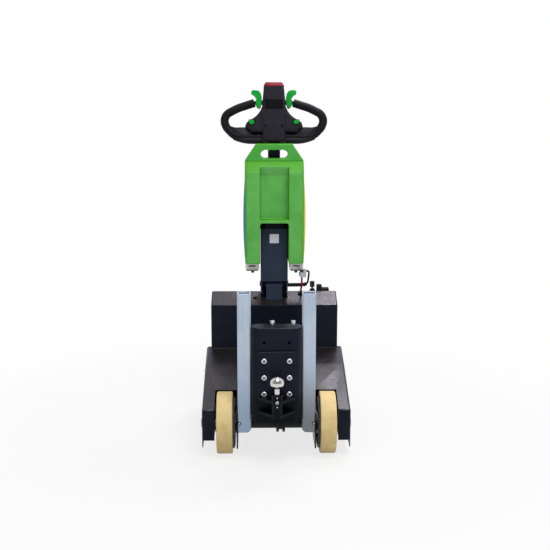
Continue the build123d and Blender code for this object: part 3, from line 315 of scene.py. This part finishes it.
def cream_tread():
    """Polyurethane tread: cream, with scuffs across the tread and scattered dark pits of grime."""
    n = Nodes("cream_tread")
    cloud = n.ranged(n.noise(30.0, 5.0, 0.6), 0.3, 0.7)
    scuff = n.ranged(n.noise(150.0, 4.0, 0.7, stretch=(3.0, 0.12, 0.12), distortion=0.8), 0.60, 0.74)
    pit = n.ranged(n.cells(240.0), 0.0, 0.22, 1.0, 0.0)
    rare = n.ranged(n.noise(45.0, 3.0), 0.55, 0.7)
    colour = n.mixed(cloud, rgb(0.60, 0.44, 0.185), rgb(0.70, 0.55, 0.27))
    colour = n.mixed(n.math("MULTIPLY", scuff, 0.45), colour, rgb(0.33, 0.25, 0.12))
    colour = n.mixed(n.math("MULTIPLY", n.math("MULTIPLY", pit, rare), 0.5), colour, rgb(0.25, 0.19, 0.10))
    return n.finish(
        Base_Color=colour,
        Roughness=n.ranged(cloud, 0.0, 1.0, 0.50, 0.68),
        Specular_IOR_Level=0.35,
        Subsurface_Weight=0.06,
        Subsurface_Radius=(0.004, 0.003, 0.0015),
        Normal=n.bump(n.math("ADD", n.noise(700.0, 3.0), scuff), 0.18, 0.0004),
    )


def battery_green(name, dark, pale):
    """Moulded case: yellow-green with a fine leathery grain, and painted light and shade by face direction:
    darker, purer green on upward faces and sides, lighter green on downward faces.
    """
    n = Nodes(name)
    cloud = n.ranged(n.noise(16.0, 5.0, 0.6), 0.3, 0.7)
    grain = n.math("ADD", n.math("MULTIPLY", n.cells(1500.0), 0.7), n.noise(900.0, 3.0))
    colour = n.mixed(cloud, dark, pale)
    # Painted shade on upward faces: a darker, purer green
    colour = n.mixed(n.ranged(n.facing("Z"), 0.25, 0.6), colour, rgb(0.064, 0.34, 0.012))
    # Painted light on downward faces: a lighter green for the recess ceiling
    colour = n.mixed(n.ranged(n.facing("Z"), -0.6, -0.2, 0.8, 0.0), colour, rgb(0.20, 0.62, 0.17))
    # Painted shade on the sides: a darker, purer green
    sideways = n.math("ABSOLUTE", n.facing("X"))
    colour = n.mixed(n.ranged(sideways, 0.2, 0.7), colour, rgb(0.065, 0.36, 0.020))
    return n.finish(
        Base_Color=colour,
        Roughness=n.ranged(n.noise(50.0, 4.0), 0.3, 0.7, 0.38, 0.50),
        Specular_IOR_Level=0.25,
        Normal=n.bump(grain, 0.16, 0.0003),
    )


post_zinc = zinc_post()
tread_cream = cream_tread()
case_green = battery_green("case_green", rgb(0.086, 0.375, 0.062), rgb(0.120, 0.450, 0.092))
# A darker copy of the case green for the handle: painted shade
handle_green = battery_green("handle_green", rgb(0.042, 0.285, 0.030), rgb(0.056, 0.325, 0.042))

finish_of = {
    "black_powder_coat": black_coat,
    "zinc_post": post_zinc,
    "bright_steel": bright_steel,
    "zinc_fittings": zinc_fittings,
    "cast_hub": cast_hub,
    "cream_tread": tread_cream,
    "castor_tread": castor_rubber,
    "gear_case": gear_black,
    "motor_black": motor_black,
    "green_case": case_green,
    "blue_panel": panel_blue,
    "yellow_panel": panel_yellow,
    "cast_foot": cast_foot,
    "grey_connector": connector_grey,
    "black_plastic": black_plastic,
    "grip_rubber": grip_foam,
    "green_control": control_green,
    "red_button": button_red,
    "dark_screen": screen_black,
    "black_cable": cable_black,
    "red_cable": cable_red,
}
for part in frame["record"]["subparts"]:
    node = nodes[part["node"]]
    node.data.materials.clear()
    node.data.materials.append(finish_of[part["material_slot"]])
special = {
    "mast": mast_coat,
    "coupling_plate": mast_coat,
    "half_shaft_left": shaft_steel,
    "half_shaft_right": shaft_steel,
    "hinge_pin": shaft_steel,
    # Painted shade: the hitch bracket, wheel boxes and dock block take the darker black
    "hitch_bracket": shaded_black,
    "wheel_box_left": shaded_black,
    "wheel_box_right": shaded_black,
    "tiller_column": column_coat,
    "tiller_foot": column_coat,
    "dock_block": shaded_black,
    "battery_handle": handle_green,
}
for name, finish in special.items():
    nodes[name].data.materials[0] = finish


# Directions in the shared frame, places and mesh helpers
FRONT = (0, -1, 0)
UP = (0, 0, 1)
DOWN = (0, 0, -1)
RIGHT = (1, 0, 0)


def middle(name):
    """The centre of a CAD node's box."""
    low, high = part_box(name)
    return (low + high) / 2


def stand(at, way, spin=0.0):
    """A frame at a point, with its Z along a direction."""
    turn = Vector(way).to_track_quat("Z", "Y").to_matrix().to_4x4()
    return Matrix.Translation(at) @ turn @ Matrix.Rotation(spin, 4, "Z")


def seat(at, across, out):
    """A frame on a face, with its X across the face and its Z out of it."""
    z = Vector(out).normalized()
    x = Vector(across)
    x = (x - z * x.dot(z)).normalized()
    return Matrix.Translation(at) @ Matrix((x, z.cross(x), z)).transposed().to_4x4()


def on(place, a, b, c=0.0):
    """A frame moved along its own axes."""
    return place @ Matrix.Translation((a, b, c))


def ring(radius, height, sides=32, hexagon=False):
    """A closed ring of local points; a hexagon's radius is half its width over flats."""
    points = []
    for i in range(sides):
        turn = 2 * math.pi * i / sides
        reach = radius
        if hexagon:
            reach = radius / math.cos((turn + math.pi / 6) % (math.pi / 3) - math.pi / 6)
        points.append(Vector((reach * math.cos(turn), reach * math.sin(turn), height)))
    return points


def oblong(width, depth, corner, height, steps=5):
    """A closed ring of local points round a rectangle with round corners."""
    points = []
    for quarter, (sx, sy) in enumerate(((1, 1), (-1, 1), (-1, -1), (1, -1))):
        for step in range(steps + 1):
            turn = math.pi / 2 * (quarter + step / steps)
            x = sx * (width / 2 - corner) + corner * math.cos(turn)
            y = sy * (depth / 2 - corner) + corner * math.sin(turn)
            points.append(Vector((x, y, height)))
    return points


def loft(rings, place, hoop=False):
    """A mesh through rings of equal count; a hoop's last ring meets its first, and other lofts are capped."""
    mesh = bpy.data.meshes.new("loft")
    work = bmesh.new()
    rows = [[work.verts.new(place @ point) for point in points] for points in rings]
    pairs = list(zip(rows, rows[1:]))
    if hoop:
        pairs.append((rows[-1], rows[0]))
    for low, high in pairs:
        for i in range(len(low)):
            j = (i + 1) % len(low)
            work.faces.new((low[i], low[j], high[j], high[i]))
    if not hoop:
        work.faces.new(rows[0][::-1])
        work.faces.new(rows[-1])
    bmesh.ops.recalc_face_normals(work, faces=work.faces)
    work.to_mesh(mesh)
    work.free()
    return mesh


def piece(name, meshes, material, body, smooth=35):
    """One object from several meshes, which moves with a body; with a body of None it is left unattached."""
    work = bmesh.new()
    for mesh in meshes:
        work.from_mesh(mesh)
        bpy.data.meshes.remove(mesh)
    joined = bpy.data.meshes.new(name)
    work.to_mesh(joined)
    work.free()
    joined.materials.append(material)
    joined.shade_smooth()
    joined.set_sharp_from_angle(angle=math.radians(smooth))
    made = bpy.data.objects.new(name, joined)
    scene.collection.objects.link(made)
    if body:
        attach(made, body)
    return made


def cap_screw(place, radius, height, socket):
    """Socket head screw: a round head with a broken edge and a hexagon socket."""
    edge = 0.12 * radius
    rings = [
        ring(radius, 0),
        ring(radius, height - edge),
        ring(radius - edge, height),
        ring(socket * 1.12, height),
        ring(socket, height - 0.3 * edge, hexagon=True),
        ring(socket, 0.15 * height, hexagon=True),
    ]
    return loft(rings, place)


def button_screw(place, radius, height):
    """Button head screw: a dome with a hexagon socket."""
    rings = [ring(radius, 0)]
    for step in range(1, 5):
        turn = math.pi / 2 * step / 5
        rings.append(ring(radius * math.cos(turn), height * math.sin(turn)))
    socket = 0.42 * radius
    rings.append(ring(socket, 0.97 * height, hexagon=True))
    rings.append(ring(socket, 0.45 * height, hexagon=True))
    return loft(rings, place)


def hex_bolt(place, across, height, washer=0.0):
    """Hexagon head with a chamfered crown, on an optional washer."""
    half = across / 2
    rings = []
    if washer:
        rings = [ring(half * 1.3, 0), ring(half * 1.3, washer * 0.8), ring(half * 1.24, washer)]
    rings += [
        ring(half, washer, hexagon=True),
        ring(half, washer + 0.82 * height, hexagon=True),
        ring(half * 0.96, washer + height),
        ring(half * 0.5, washer + height),
    ]
    return loft(rings, place)


def hoop(place, radius, thick, sides=40, steps=12):
    """A ring of round section."""
    rings = []
    for step in range(steps):
        turn = 2 * math.pi * step / steps
        rings.append(ring(radius + thick * math.cos(turn), thick * math.sin(turn), sides))
    return loft(rings, place, hoop=True)


def bezel(place, outer, inner, corner, height):
    """A rounded rectangular rim round a hole; outer and inner are widths and depths."""
    width, depth = outer
    hole, hole_depth = inner
    edge = 0.25 * height
    rings = [
        oblong(width, depth, corner, 0),
        oblong(width, depth, corner, height - edge),
        oblong(width - 2 * edge, depth - 2 * edge, corner - edge, height),
        oblong(hole, hole_depth, corner * 0.7, height),
        oblong(hole, hole_depth, corner * 0.7, 0),
    ]
    return loft(rings, place, hoop=True)


def pad(place, width, depth, corner, height):
    """A raised rectangle with round corners and a broken top edge."""
    edge = min(0.3 * height, 0.4 * corner)
    rings = [
        oblong(width, depth, corner, 0),
        oblong(width, depth, corner, height - edge),
        oblong(width - 2 * edge, depth - 2 * edge, corner - edge, height),
    ]
    return loft(rings, place)


def slab(place, outline, half, edge):
    """A flat body of any outline, centred on its frame, with its rims drawn in by an edge."""
    middle = sum((Vector(point) for point in outline), Vector((0, 0))) / len(outline)
    rings = []
    for height, draw in ((-half, edge), (edge - half, 0.0), (half - edge, 0.0), (half, edge)):
        points = []
        for point in outline:
            inward = middle - Vector(point)
            near = Vector(point) + inward.normalized() * draw
            points.append(Vector((near.x, near.y, height)))
        rings.append(points)
    return loft(rings, place)


def tube(points, radius, sides=16):
    """A capped tube along points; radius may be a function of the length run so far."""
    side = Vector((0.31, 0.52, 0.79))
    rings = []
    run = 0.0
    for i, point in enumerate(points):
        ahead = (points[min(i + 1, len(points) - 1)] - points[max(i - 1, 0)]).normalized()
        side = (side - ahead * side.dot(ahead)).normalized()
        other = ahead.cross(side)
        if i:
            run += (point - points[i - 1]).length
        reach = radius(run) if callable(radius) else radius
        turns = [2 * math.pi * k / sides for k in range(sides)]
        rings.append([point + reach * (math.cos(t) * side + math.sin(t) * other) for t in turns])
    return loft(rings, Matrix.Identity(4))


def straight(start, end, count):
    """Evenly spaced points from start to end."""
    a = Vector(start)
    b = Vector(end)
    return [a.lerp(b, i / (count - 1)) for i in range(count)]


def bead(points, radius, pitch):
    """A weld bead: a tube that swells at each ripple."""
    return tube(points, lambda run: radius * (0.8 + 0.2 * abs(math.sin(math.pi * run / pitch))), 10)


def route_line(points, steps=24):
    """Points along the smooth NURBS spline that has a cord's route as its control points."""
    curve = bpy.data.curves.new("route", "CURVE")
    curve.dimensions = "3D"
    spline = curve.splines.new("NURBS")
    spline.points.add(len(points) - 1)
    for control, point in zip(spline.points, points):
        control.co = (*point, 1.0)
    spline.order_u = 3
    spline.use_endpoint_u = True
    spline.resolution_u = steps
    holder = bpy.data.objects.new("route", curve)
    line = bpy.data.meshes.new_from_object(holder)
    found = [vertex.co.copy() for vertex in line.vertices]
    bpy.data.meshes.remove(line)
    bpy.data.objects.remove(holder)
    bpy.data.curves.remove(curve)
    return found


def soften(width, names, angle=32, segments=2, clamp=True, join=True):
    """Breaks sharp edges of CAD nodes with modifiers, which leave their meshes as they are.

    Clamping keeps roundings from meeting; joining first merges flat triangles into whole faces.
    """
    for name in names:
        weld = nodes[name].modifiers.new("weld", "WELD")
        weld.merge_threshold = 0.00002
        if join:
            flat = nodes[name].modifiers.new("flat", "DECIMATE")
            flat.decimate_type = "DISSOLVE"
            flat.angle_limit = math.radians(0.6)
        edge = nodes[name].modifiers.new("edge", "BEVEL")
        edge.limit_method = "ANGLE"
        edge.angle_limit = math.radians(angle)
        edge.width = width
        edge.segments = segments
        edge.use_clamp_overlap = clamp
        edge.harden_normals = True


# Broken edges: folded sheet, castings and mouldings
soften(0.0010, ["tiller_column"])
soften(0.0010, ["housing_cover"], clamp=False, join=False)
soften(0.0005, ["deck_cover", "hitch_bracket"], clamp=False, join=False)
soften(0.0008, ["mast", "tiller_foot", "drive_hub_left", "drive_hub_right"])
soften(0.0006, ["coupling_plate", "castor_fork_left", "castor_fork_right"])
soften(0.0008, ["post_left", "post_right"], clamp=False)
soften(0.0040, ["battery_case"], angle=25, segments=4, clamp=False)
soften(0.0025, ["battery_handle"], angle=25, segments=3, clamp=False)
soften(0.0018, ["thumb_lever_left", "thumb_lever_right"], angle=30, segments=3, clamp=False)
soften(0.0015, ["head_body", "belly_button"], angle=30, segments=3)
soften(0.0010, ["battery_foot_left", "battery_foot_right", "battery_connector", "charge_socket"])

# Battery leads: the routes of the solids, a little rounder where they leave the connector
lead_red_d = 0.006
red_route = (
    (0.086, 0.155, 0.465),
    (0.086, 0.155, 0.450),
    (0.086, 0.166, 0.433),
    (0.086, 0.190, 0.4235),
    (0.086, 0.2112, 0.4214),
    (0.086, 0.21772, 0.40498),
)
red_line = route_line(red_route)
red_lead = piece("red_lead_cord", [tube(red_line, lead_red_d / 2)], cable_red, None)
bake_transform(red_lead)
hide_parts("red_lead")

lead_black_d = 0.006
black_route = (
    (0.0995, 0.155, 0.484),
    (0.1085, 0.155, 0.486),
    (0.1080, 0.159, 0.468),
    (0.1060, 0.171, 0.449),
    (0.1035, 0.186, 0.437),
    (0.0900, 0.194, 0.432),
    (0.0430, 0.194, 0.432),
)
black_line = route_line(black_route)
black_tube = tube(black_line, lead_black_d / 2)
black_lead = piece("black_lead_cord", [black_tube], cable_black, "tiller")
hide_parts("black_lead")

# A ribbed sleeve on the black lead's level run
sleeve_radius = 0.0058
sleeve_rib = 0.0006
sleeve_pitch = 0.0030


def ribbed(run):
    """The sleeve's radius after a length of run."""
    return sleeve_radius + sleeve_rib * math.sin(2 * math.pi * run / sleeve_pitch)


sleeve_line = [point for point in black_line if point.x < 0.100 and point.z < 0.440]
sleeve_run = []
for near, far in zip(sleeve_line, sleeve_line[1:]):
    sleeve_run += straight(near, far, 9)[:-1]
piece("lead_sleeve", [tube(sleeve_run, ribbed, 20)], cable_black, "tiller", 60)

# Six cap screws of the coupling plate, with darker steel floors in each socket as painted shade, and two
# spare screws in the mast's top
coupling_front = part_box("coupling_plate")[0].y
screw_offset = 0.0355
screw_low_z = 0.2085
screw_pitch = 0.048
screws, socket_shade_floors = [], []
for row in range(3):
    for column in (-1, 1):
        spot = (column * screw_offset, coupling_front, screw_low_z + screw_pitch * row)
        place = stand(spot, FRONT, 0.4 + 1.3 * row + 0.7 * column)
        screws.append(cap_screw(place, radius=0.0074, height=0.0065, socket=0.0040))
        # A darker steel floor inside the socket: painted shade
        floor_rings = [
            ring(0.0039, 0.0006, hexagon=True),
            ring(0.0039, 0.0030, hexagon=True),
            ring(0.0012, 0.0022),
        ]
        socket_shade_floors.append(loft(floor_rings, place))
piece("coupling_screws", screws, screw_zinc, "chassis")
piece("coupling_socket_shade", socket_shade_floors, shaft_steel, "chassis")
mast_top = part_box("mast")[1].z
spares = []
for x in (-0.0115, 0.0475):
    shank = stand((x, middle("mast").y, mast_top), UP)
    spares.append(loft([ring(0.003, -0.002, 24), ring(0.003, 0.010, 24)], shank))
    spares.append(cap_screw(on(shank, 0, 0, 0.008), radius=0.0062, height=0.008, socket=0.0026))
piece("mast_spare_screws", spares, screw_zinc, "chassis")

# Hitch: set screws in the ball's sleeve, and weld beads along the plates and round the sleeve
hitch_front = -0.305
set_screws = [cap_screw(stand((0, hitch_front, 0.200), FRONT), radius=0.0042, height=0.0030, socket=0.0019)]
for z in (0.213, 0.187):
    set_screws.append(button_screw(stand((0, hitch_front, z), FRONT), radius=0.0022, height=0.0014))
piece("hitch_set_screws", set_screws, screw_zinc, "chassis")
weld_heights = (0.2025, 0.1625)
weld_half = 0.049
weld_y = coupling_front - 0.0005
weld_turn = 0.0155
ball_y = middle("tow_ball").y
beads = []
for z in weld_heights:
    root = straight((-weld_half, weld_y, z), (weld_half, weld_y, z), 90)
    beads.append(bead(root, radius=0.0022, pitch=0.0034))
for z in weld_heights:
    arc = []
    for step in range(49):
        turn = math.pi * (0.5 + 0.9 * (step / 24 - 1))
        arc.append(Vector((weld_turn * math.cos(turn), ball_y + weld_turn * math.sin(turn), z)))
    beads.append(bead(arc, radius=0.0018, pitch=0.0030))
# The beads take the darker black, painted shade like the hitch
piece("hitch_welds", beads, shaded_black, "chassis", 60)

# Small screws: posts, deck sides, housing sides, castor plates
post_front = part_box("post_right")[0].y
post_screw_x = 0.1063
post_screw_z = 0.1105
deck_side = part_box("deck_cover")[1].x
housing_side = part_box("housing_cover")[1].x
castor = middle("castor_plate_right")
castor_bolt_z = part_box("castor_plate_right")[1].z - 0.006
castor_bolt_offset = 0.032
fixings = []
for side in (-1, 1):
    outward = (side, 0, 0)
    spot = (side * post_screw_x, post_front - 0.001, post_screw_z)
    fixings.append(button_screw(stand(spot, FRONT), radius=0.0032, height=0.0020))
    for y, z in ((0.060, 0.188), (0.150, 0.060)):
        fixings.append(button_screw(stand((side * deck_side, y, z), outward), radius=0.0055, height=0.0028))
    for y in (0.190, 0.235, 0.280):
        spot = (side * housing_side, y, 0.150)
        fixings.append(button_screw(stand(spot, outward), radius=0.0050, height=0.0026))
    for x in (-castor_bolt_offset, castor_bolt_offset):
        for y in (-castor_bolt_offset, castor_bolt_offset):
            nut = stand((side * castor.x + x, castor.y + y, castor_bolt_z), DOWN)
            fixings.append(hex_bolt(nut, across=0.013, height=0.006, washer=0.0015))
piece("chassis_fixings", fixings, zinc_fittings, "chassis")

# Washers under the post screws, and lock nuts on the inner plates at the axle's height
axle = middle("drive_tyre_left")
washers, nuts = [], []
for side in (-1, 1):
    washer = stand((side * post_screw_x, post_front, post_screw_z), FRONT)
    washer_rings = [ring(0.0052, 0), ring(0.0052, 0.0009), ring(0.0049, 0.0012), ring(0.0030, 0.0012)]
    washers.append(loft(washer_rings, washer))
    nut = stand((side * 0.115, -0.1835, axle.z), (side, 0, 0))
    nuts.append(hex_bolt(nut, across=0.016, height=0.0078, washer=0.0010))
piece("post_washers", washers, gear_black, "chassis")
piece("axle_lock_nuts", nuts, gear_black, "chassis")


def round_axle(x, reach, turn):
    """A point on a circle round the drive wheels' axle."""
    return (x, axle.y + reach * math.cos(turn), axle.z + reach * math.sin(turn))


# Transaxle: bolts round the two discs
bolts = []
for x, way in ((0.004, -1), (0.022, 1)):
    for k in range(6):
        spot = round_axle(x, 0.023, math.pi / 3 * k + 0.3)
        bolts.append(hex_bolt(stand(spot, (way, 0, 0)), across=0.007, height=0.0035))
piece("transaxle_bolts", bolts, gear_black, "chassis")

# Wheel bolts on the outer webs
for side, name in ((-1, "left"), (1, "right")):
    studs = []
    for k in range(5):
        spot = round_axle(side * 0.1575, 0.050, 2 * math.pi * k / 5 + 0.2)
        studs.append(hex_bolt(stand(spot, (side, 0, 0)), across=0.010, height=0.005, washer=0.0012))
    piece("hub_bolts_" + name, studs, zinc_fittings, "drive_wheel_" + name)

# Wheels: a dished steel ring inside each rim, drawn as radius and distance from the middle plane
dish = (
    (0.0520, 0.1195), (0.0640, 0.1185), (0.0730, 0.1198),
    (0.0750, 0.1225), (0.0745, 0.1262), (0.0520, 0.1262),
)
for side, name in ((-1, "left"), (1, "right")):
    wheel = stand((0, axle.y, axle.z), (side, 0, 0))
    rings = [ring(radius, height, 64) for radius, height in dish]
    piece("rim_ring_" + name, [loft(rings, wheel, hoop=True)], rim_grey, "drive_wheel_" + name)

# Roof: grommet and gland nut, square to the front slope
roof_out = (0, -0.3672, 0.9301)
grommet_place = seat((-0.060, 0.19714, 0.38905), RIGHT, roof_out)
gland_place = seat((0.086, 0.22039, 0.39824), RIGHT, roof_out)
nut_rings = [
    ring(0.0098, 0, hexagon=True),
    ring(0.0098, 0.0035, hexagon=True),
    ring(0.0090, 0.0040),
    ring(0.0070, 0.0040),
    ring(0.0070, 0),
]
roof_trim = [hoop(grommet_place, radius=0.0062, thick=0.0017), loft(nut_rings, gland_place, hoop=True)]
piece("roof_trim", roof_trim, cable_black, "chassis")

# Housing foot: a thin sealing bead where the cover meets the deck
seal_line = straight((-0.198, 0.1577, 0.2345), (0.198, 0.1577, 0.2345), 40)
piece("housing_seal", [tube(seal_line, 0.0016, 10)], castor_rubber, "chassis")

# Column: a bare white plate, and a near-black shroud round the battery's dock, whose black also paints the
# shade in the notch under the battery
column_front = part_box("tiller_column")[0].y
plate_place = seat((0, column_front, 0.5825), RIGHT, FRONT)
plate = pad(plate_place, width=0.029, depth=0.029, corner=0.0015, height=0.0006)
piece("column_plate", [plate], white_plate, "tiller")
dock_half = 0.0445
dock_low, dock_high = 0.6128, 0.6345
dock_outline = [
    (-dock_half, dock_low), (dock_half, dock_low),
    (dock_half, dock_high), (-dock_half, dock_high),
]
dock_frame = seat((0, middle("dock_block").y, 0), RIGHT, FRONT)
# The shroud's near-black is partly painted shade in the battery's notch
piece("dock_shroud", [slab(dock_frame, dock_outline, 0.0125, 0.001)], seam_black, "tiller")

# Tiller foot: ribs and flanges beside it, and circlips on the hinge pin
hinge = middle("hinge_pin")
ribs = []
for side in (-1, 1):
    rib = stand((side * 0.03222, 0.220, 0.390), UP)
    ribs.append(pad(rib, width=0.01312, depth=0.032, corner=0.002, height=0.030))
for side in (-1, 1):
    flange = stand((side * 0.0345, 0.2150, 0.386), UP)
    ribs.append(pad(flange, width=0.0165, depth=0.030, corner=0.003, height=0.0195))
# Ribs and flanges in the darker black, painted shade beside the foot
piece("foot_ribs", ribs, shaded_black, "chassis")
clips = []
for side in (-1, 1):
    clips.append(hoop(stand((side * 0.0445, hinge.y, hinge.z), RIGHT), radius=0.0084, thick=0.0009))
piece("hinge_clips", clips, gear_black, "tiller")

# Battery: studs under the feet, slots in the feet, tabs on the connector
studs, slots = [], []
for side, name in ((-1, "left"), (1, "right")):
    foot_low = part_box("battery_foot_" + name)[0]
    stud = stand((side * 0.068, 0.180, foot_low.z + 0.0005), DOWN)
    studs.append(loft([ring(0.0048, 0), ring(0.0048, 0.006), ring(0.0038, 0.0078)], stud))
    slot_place = seat((side * 0.0695, foot_low.y, foot_low.z + 0.017), RIGHT, FRONT)
    slots.append(pad(slot_place, width=0.022, depth=0.004, corner=0.0019, height=0.0006))
piece("battery_foot_studs", studs, castor_rubber, "tiller")
piece("battery_foot_slots", slots, seam_black, "tiller")
plug_low, plug_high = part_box("battery_connector")
plug = middle("battery_connector")
front_tab = seat((plug.x - 0.004, plug_low.y, plug_high.z - 0.004), RIGHT, FRONT)
side_tab = seat((plug_low.x, plug.y, plug_low.z + 0.010), (0, 1, 0), (-1, 0, 0))
tabs = [
    pad(front_tab, width=0.011, depth=0.007, corner=0.001, height=0.0022),
    pad(side_tab, width=0.008, depth=0.012, corner=0.001, height=0.0020),
]
piece("connector_tabs", tabs, cable_black, "tiller")

# Head: its own leaning frame, moulding seams, horn button bezels, blind plugs and rear screws
lean = math.radians(12)
head = seat((0, 0.232, 0.879), RIGHT, (0, -math.cos(lean), math.sin(lean)))
face = 0.024
seam_x = 0.0365
seams, bezels, plugs, rear = [], [], [], []
for side in (-1, 1):
    foot = on(head, side * seam_x, 0.034, face)
    tip = on(head, side * seam_x, 0.088, face)
    seams.append(tube(straight(foot.translation, tip.translation, 12), 0.0007, 8))
    horn = on(head, side * 0.0695, 0.061, face)
    bezels.append(bezel(horn, outer=(0.020, 0.017), inner=(0.0158, 0.0134), corner=0.003, height=0.0014))
    plug_place = on(head, side * 0.026, 0.050, face)
    plugs.append(pad(plug_place, width=0.009, depth=0.009, corner=0.0044, height=0.0006))
    for b in (0.045, 0.120):
        back = on(head, side * 0.030, b, -face) @ Matrix.Rotation(math.pi, 4, "X")
        rear.append(button_screw(back, radius=0.0042, height=0.0022))

# Head shell: a keel that rises and thins towards the grips, and a shoulder above it on each side
keel_half = 0.128
keel_flat = 0.070
keel_top = 0.020
keel = []
for step in range(-14, 15):
    reach = keel_half * step / 14
    rise = max(0.0, (abs(reach) - keel_flat) / (keel_half - keel_flat))
    low = -0.004 + 0.0132 * rise ** 2
    depth = 0.0128 - 0.0045 * rise ** 3
    mid = (keel_top + low) / 2
    half = (keel_top - low) / 2
    turns = [2 * math.pi * k / 24 for k in range(24)]
    keel.append([Vector((reach, mid + half * math.cos(t), depth * math.sin(t))) for t in turns])
shoulder = (
    (0.066, 0.030), (0.084, 0.0475), (0.100, 0.0475), (0.116, 0.0468), (0.126, 0.0480), (0.1325, 0.0505),
    (0.137, 0.0490), (0.131, 0.0330), (0.122, 0.0150), (0.112, 0.0080), (0.090, 0.0060), (0.066, 0.0060),
)
shell = [loft(keel, head)]
for side in (-1, 1):
    shell.append(slab(head, [(side * a, b) for a, b in shoulder], 0.0115, 0.003))
piece("head_shell", shell, black_plastic, "tiller", 50)
neck_end = head @ seat((0, 0.1738, 0), RIGHT, (0, 1, 0))
skirt = pad(neck_end, width=0.0634, depth=0.0490, corner=0.0084, height=0.0066)
piece("cap_skirt", [skirt], button_red, "tiller")
piece("head_seams", seams, seam_black, "tiller")
piece("horn_bezels", bezels, seam_black, "tiller")
piece("head_plugs", plugs, seam_black, "tiller")
piece("head_screws", rear, gear_black, "tiller")


# Floor: white in the distance, and pale enough near the object to keep its shadow
def seen_rays(tree):
    """1 for rays that show the background: from the camera, a reflection or a see-through surface."""
    path = tree.nodes.new("ShaderNodeLightPath")
    seen = path.outputs["Is Camera Ray"]
    for kind in ("Is Glossy Ray", "Is Transmission Ray"):
        either = tree.nodes.new("ShaderNodeMath")
        either.operation = "MAXIMUM"
        tree.links.new(seen, either.inputs[0])
        tree.links.new(path.outputs[kind], either.inputs[1])
        seen = either.outputs[0]
    return seen


floor_mesh = bpy.data.meshes.new("floor")
span = 30.0
corners = [(-span, -span, 0), (span, -span, 0), (span, span, 0), (-span, span, 0)]
floor_mesh.from_pydata(corners, [], [(0, 1, 2, 3)])
floor = bpy.data.objects.new("floor", floor_mesh)
scene.collection.objects.link(floor)
look = Nodes("floor_white")
pale_floor = look.mixed(look.noise(3.0), rgb(0.60, 0.60, 0.60), rgb(0.63, 0.63, 0.63))
look.finish(Base_Color=pale_floor, Roughness=0.9, Specular_IOR_Level=0.0)
away = look.node("ShaderNodeVectorMath")
away.operation = "LENGTH"
look.put(away.inputs[0], look.coords)
share = look.math("MULTIPLY", look.ranged(away.outputs["Value"], 0.6, 1.5, 0.78, 1.0), seen_rays(look.tree))
glow = look.node("ShaderNodeEmission", Color=rgb(1.0, 1.0, 1.0), Strength=1.0)
both = look.tree.nodes.new("ShaderNodeMixShader")
look.put(both.inputs[0], share)
look.put(both.inputs[1], look.shader.outputs["BSDF"])
look.put(both.inputs[2], glow.outputs["Emission"])
look.put(look.tree.nodes["Material Output"].inputs["Surface"], both.outputs["Shader"])
floor_mesh.materials.append(look.material)

# World: white to the camera, with a dimmer side behind the camera for reflections, and two lamps
world = bpy.data.worlds.new("studio")
scene.world = world
world.use_nodes = True
tree = world.node_tree
look_way = tree.nodes.new("ShaderNodeSeparateXYZ")
tree.links.new(tree.nodes.new("ShaderNodeTexCoord").outputs["Generated"], look_way.inputs[0])
backdrop = tree.nodes.new("ShaderNodeMapRange")
for key, number in (("From Min", -0.5), ("From Max", 0.3), ("To Min", 0.30), ("To Max", 1.0)):
    backdrop.inputs[key].default_value = number
tree.links.new(look_way.outputs["Y"], backdrop.inputs["Value"])
shown = tree.nodes.new("ShaderNodeMix")
tree.links.new(tree.nodes.new("ShaderNodeLightPath").outputs["Is Camera Ray"], shown.inputs[0])
tree.links.new(backdrop.outputs["Result"], shown.inputs[2])
shown.inputs[3].default_value = 1.0
strength = tree.nodes.new("ShaderNodeMix")
strength.inputs[2].default_value = 0.58
tree.links.new(seen_rays(tree), strength.inputs[0])
tree.links.new(shown.outputs[0], strength.inputs[3])
background = tree.nodes["Background"]
tree.links.new(strength.outputs[0], background.inputs["Strength"])
background.inputs["Color"].default_value = rgb(1.0, 1.0, 1.0)


def softbox(name, at, target, size, power):
    """A rectangular area lamp that faces a target."""
    data = bpy.data.lights.new(name, "AREA")
    data.shape = "RECTANGLE"
    data.size, data.size_y = size
    data.energy = power
    lamp = bpy.data.objects.new(name, data)
    lamp.location = at
    lamp.rotation_euler = (Vector(target) - Vector(at)).to_track_quat("-Z", "Y").to_euler()
    scene.collection.objects.link(lamp)


softbox("key", (0.5, -1.6, 3.5), (0, 0, 0.4), (1.6, 1.6), 78)
softbox("back_top", (1.0, 1.9, 3.95), (0, 0.1, 0.35), (1.6, 1.0), 85)
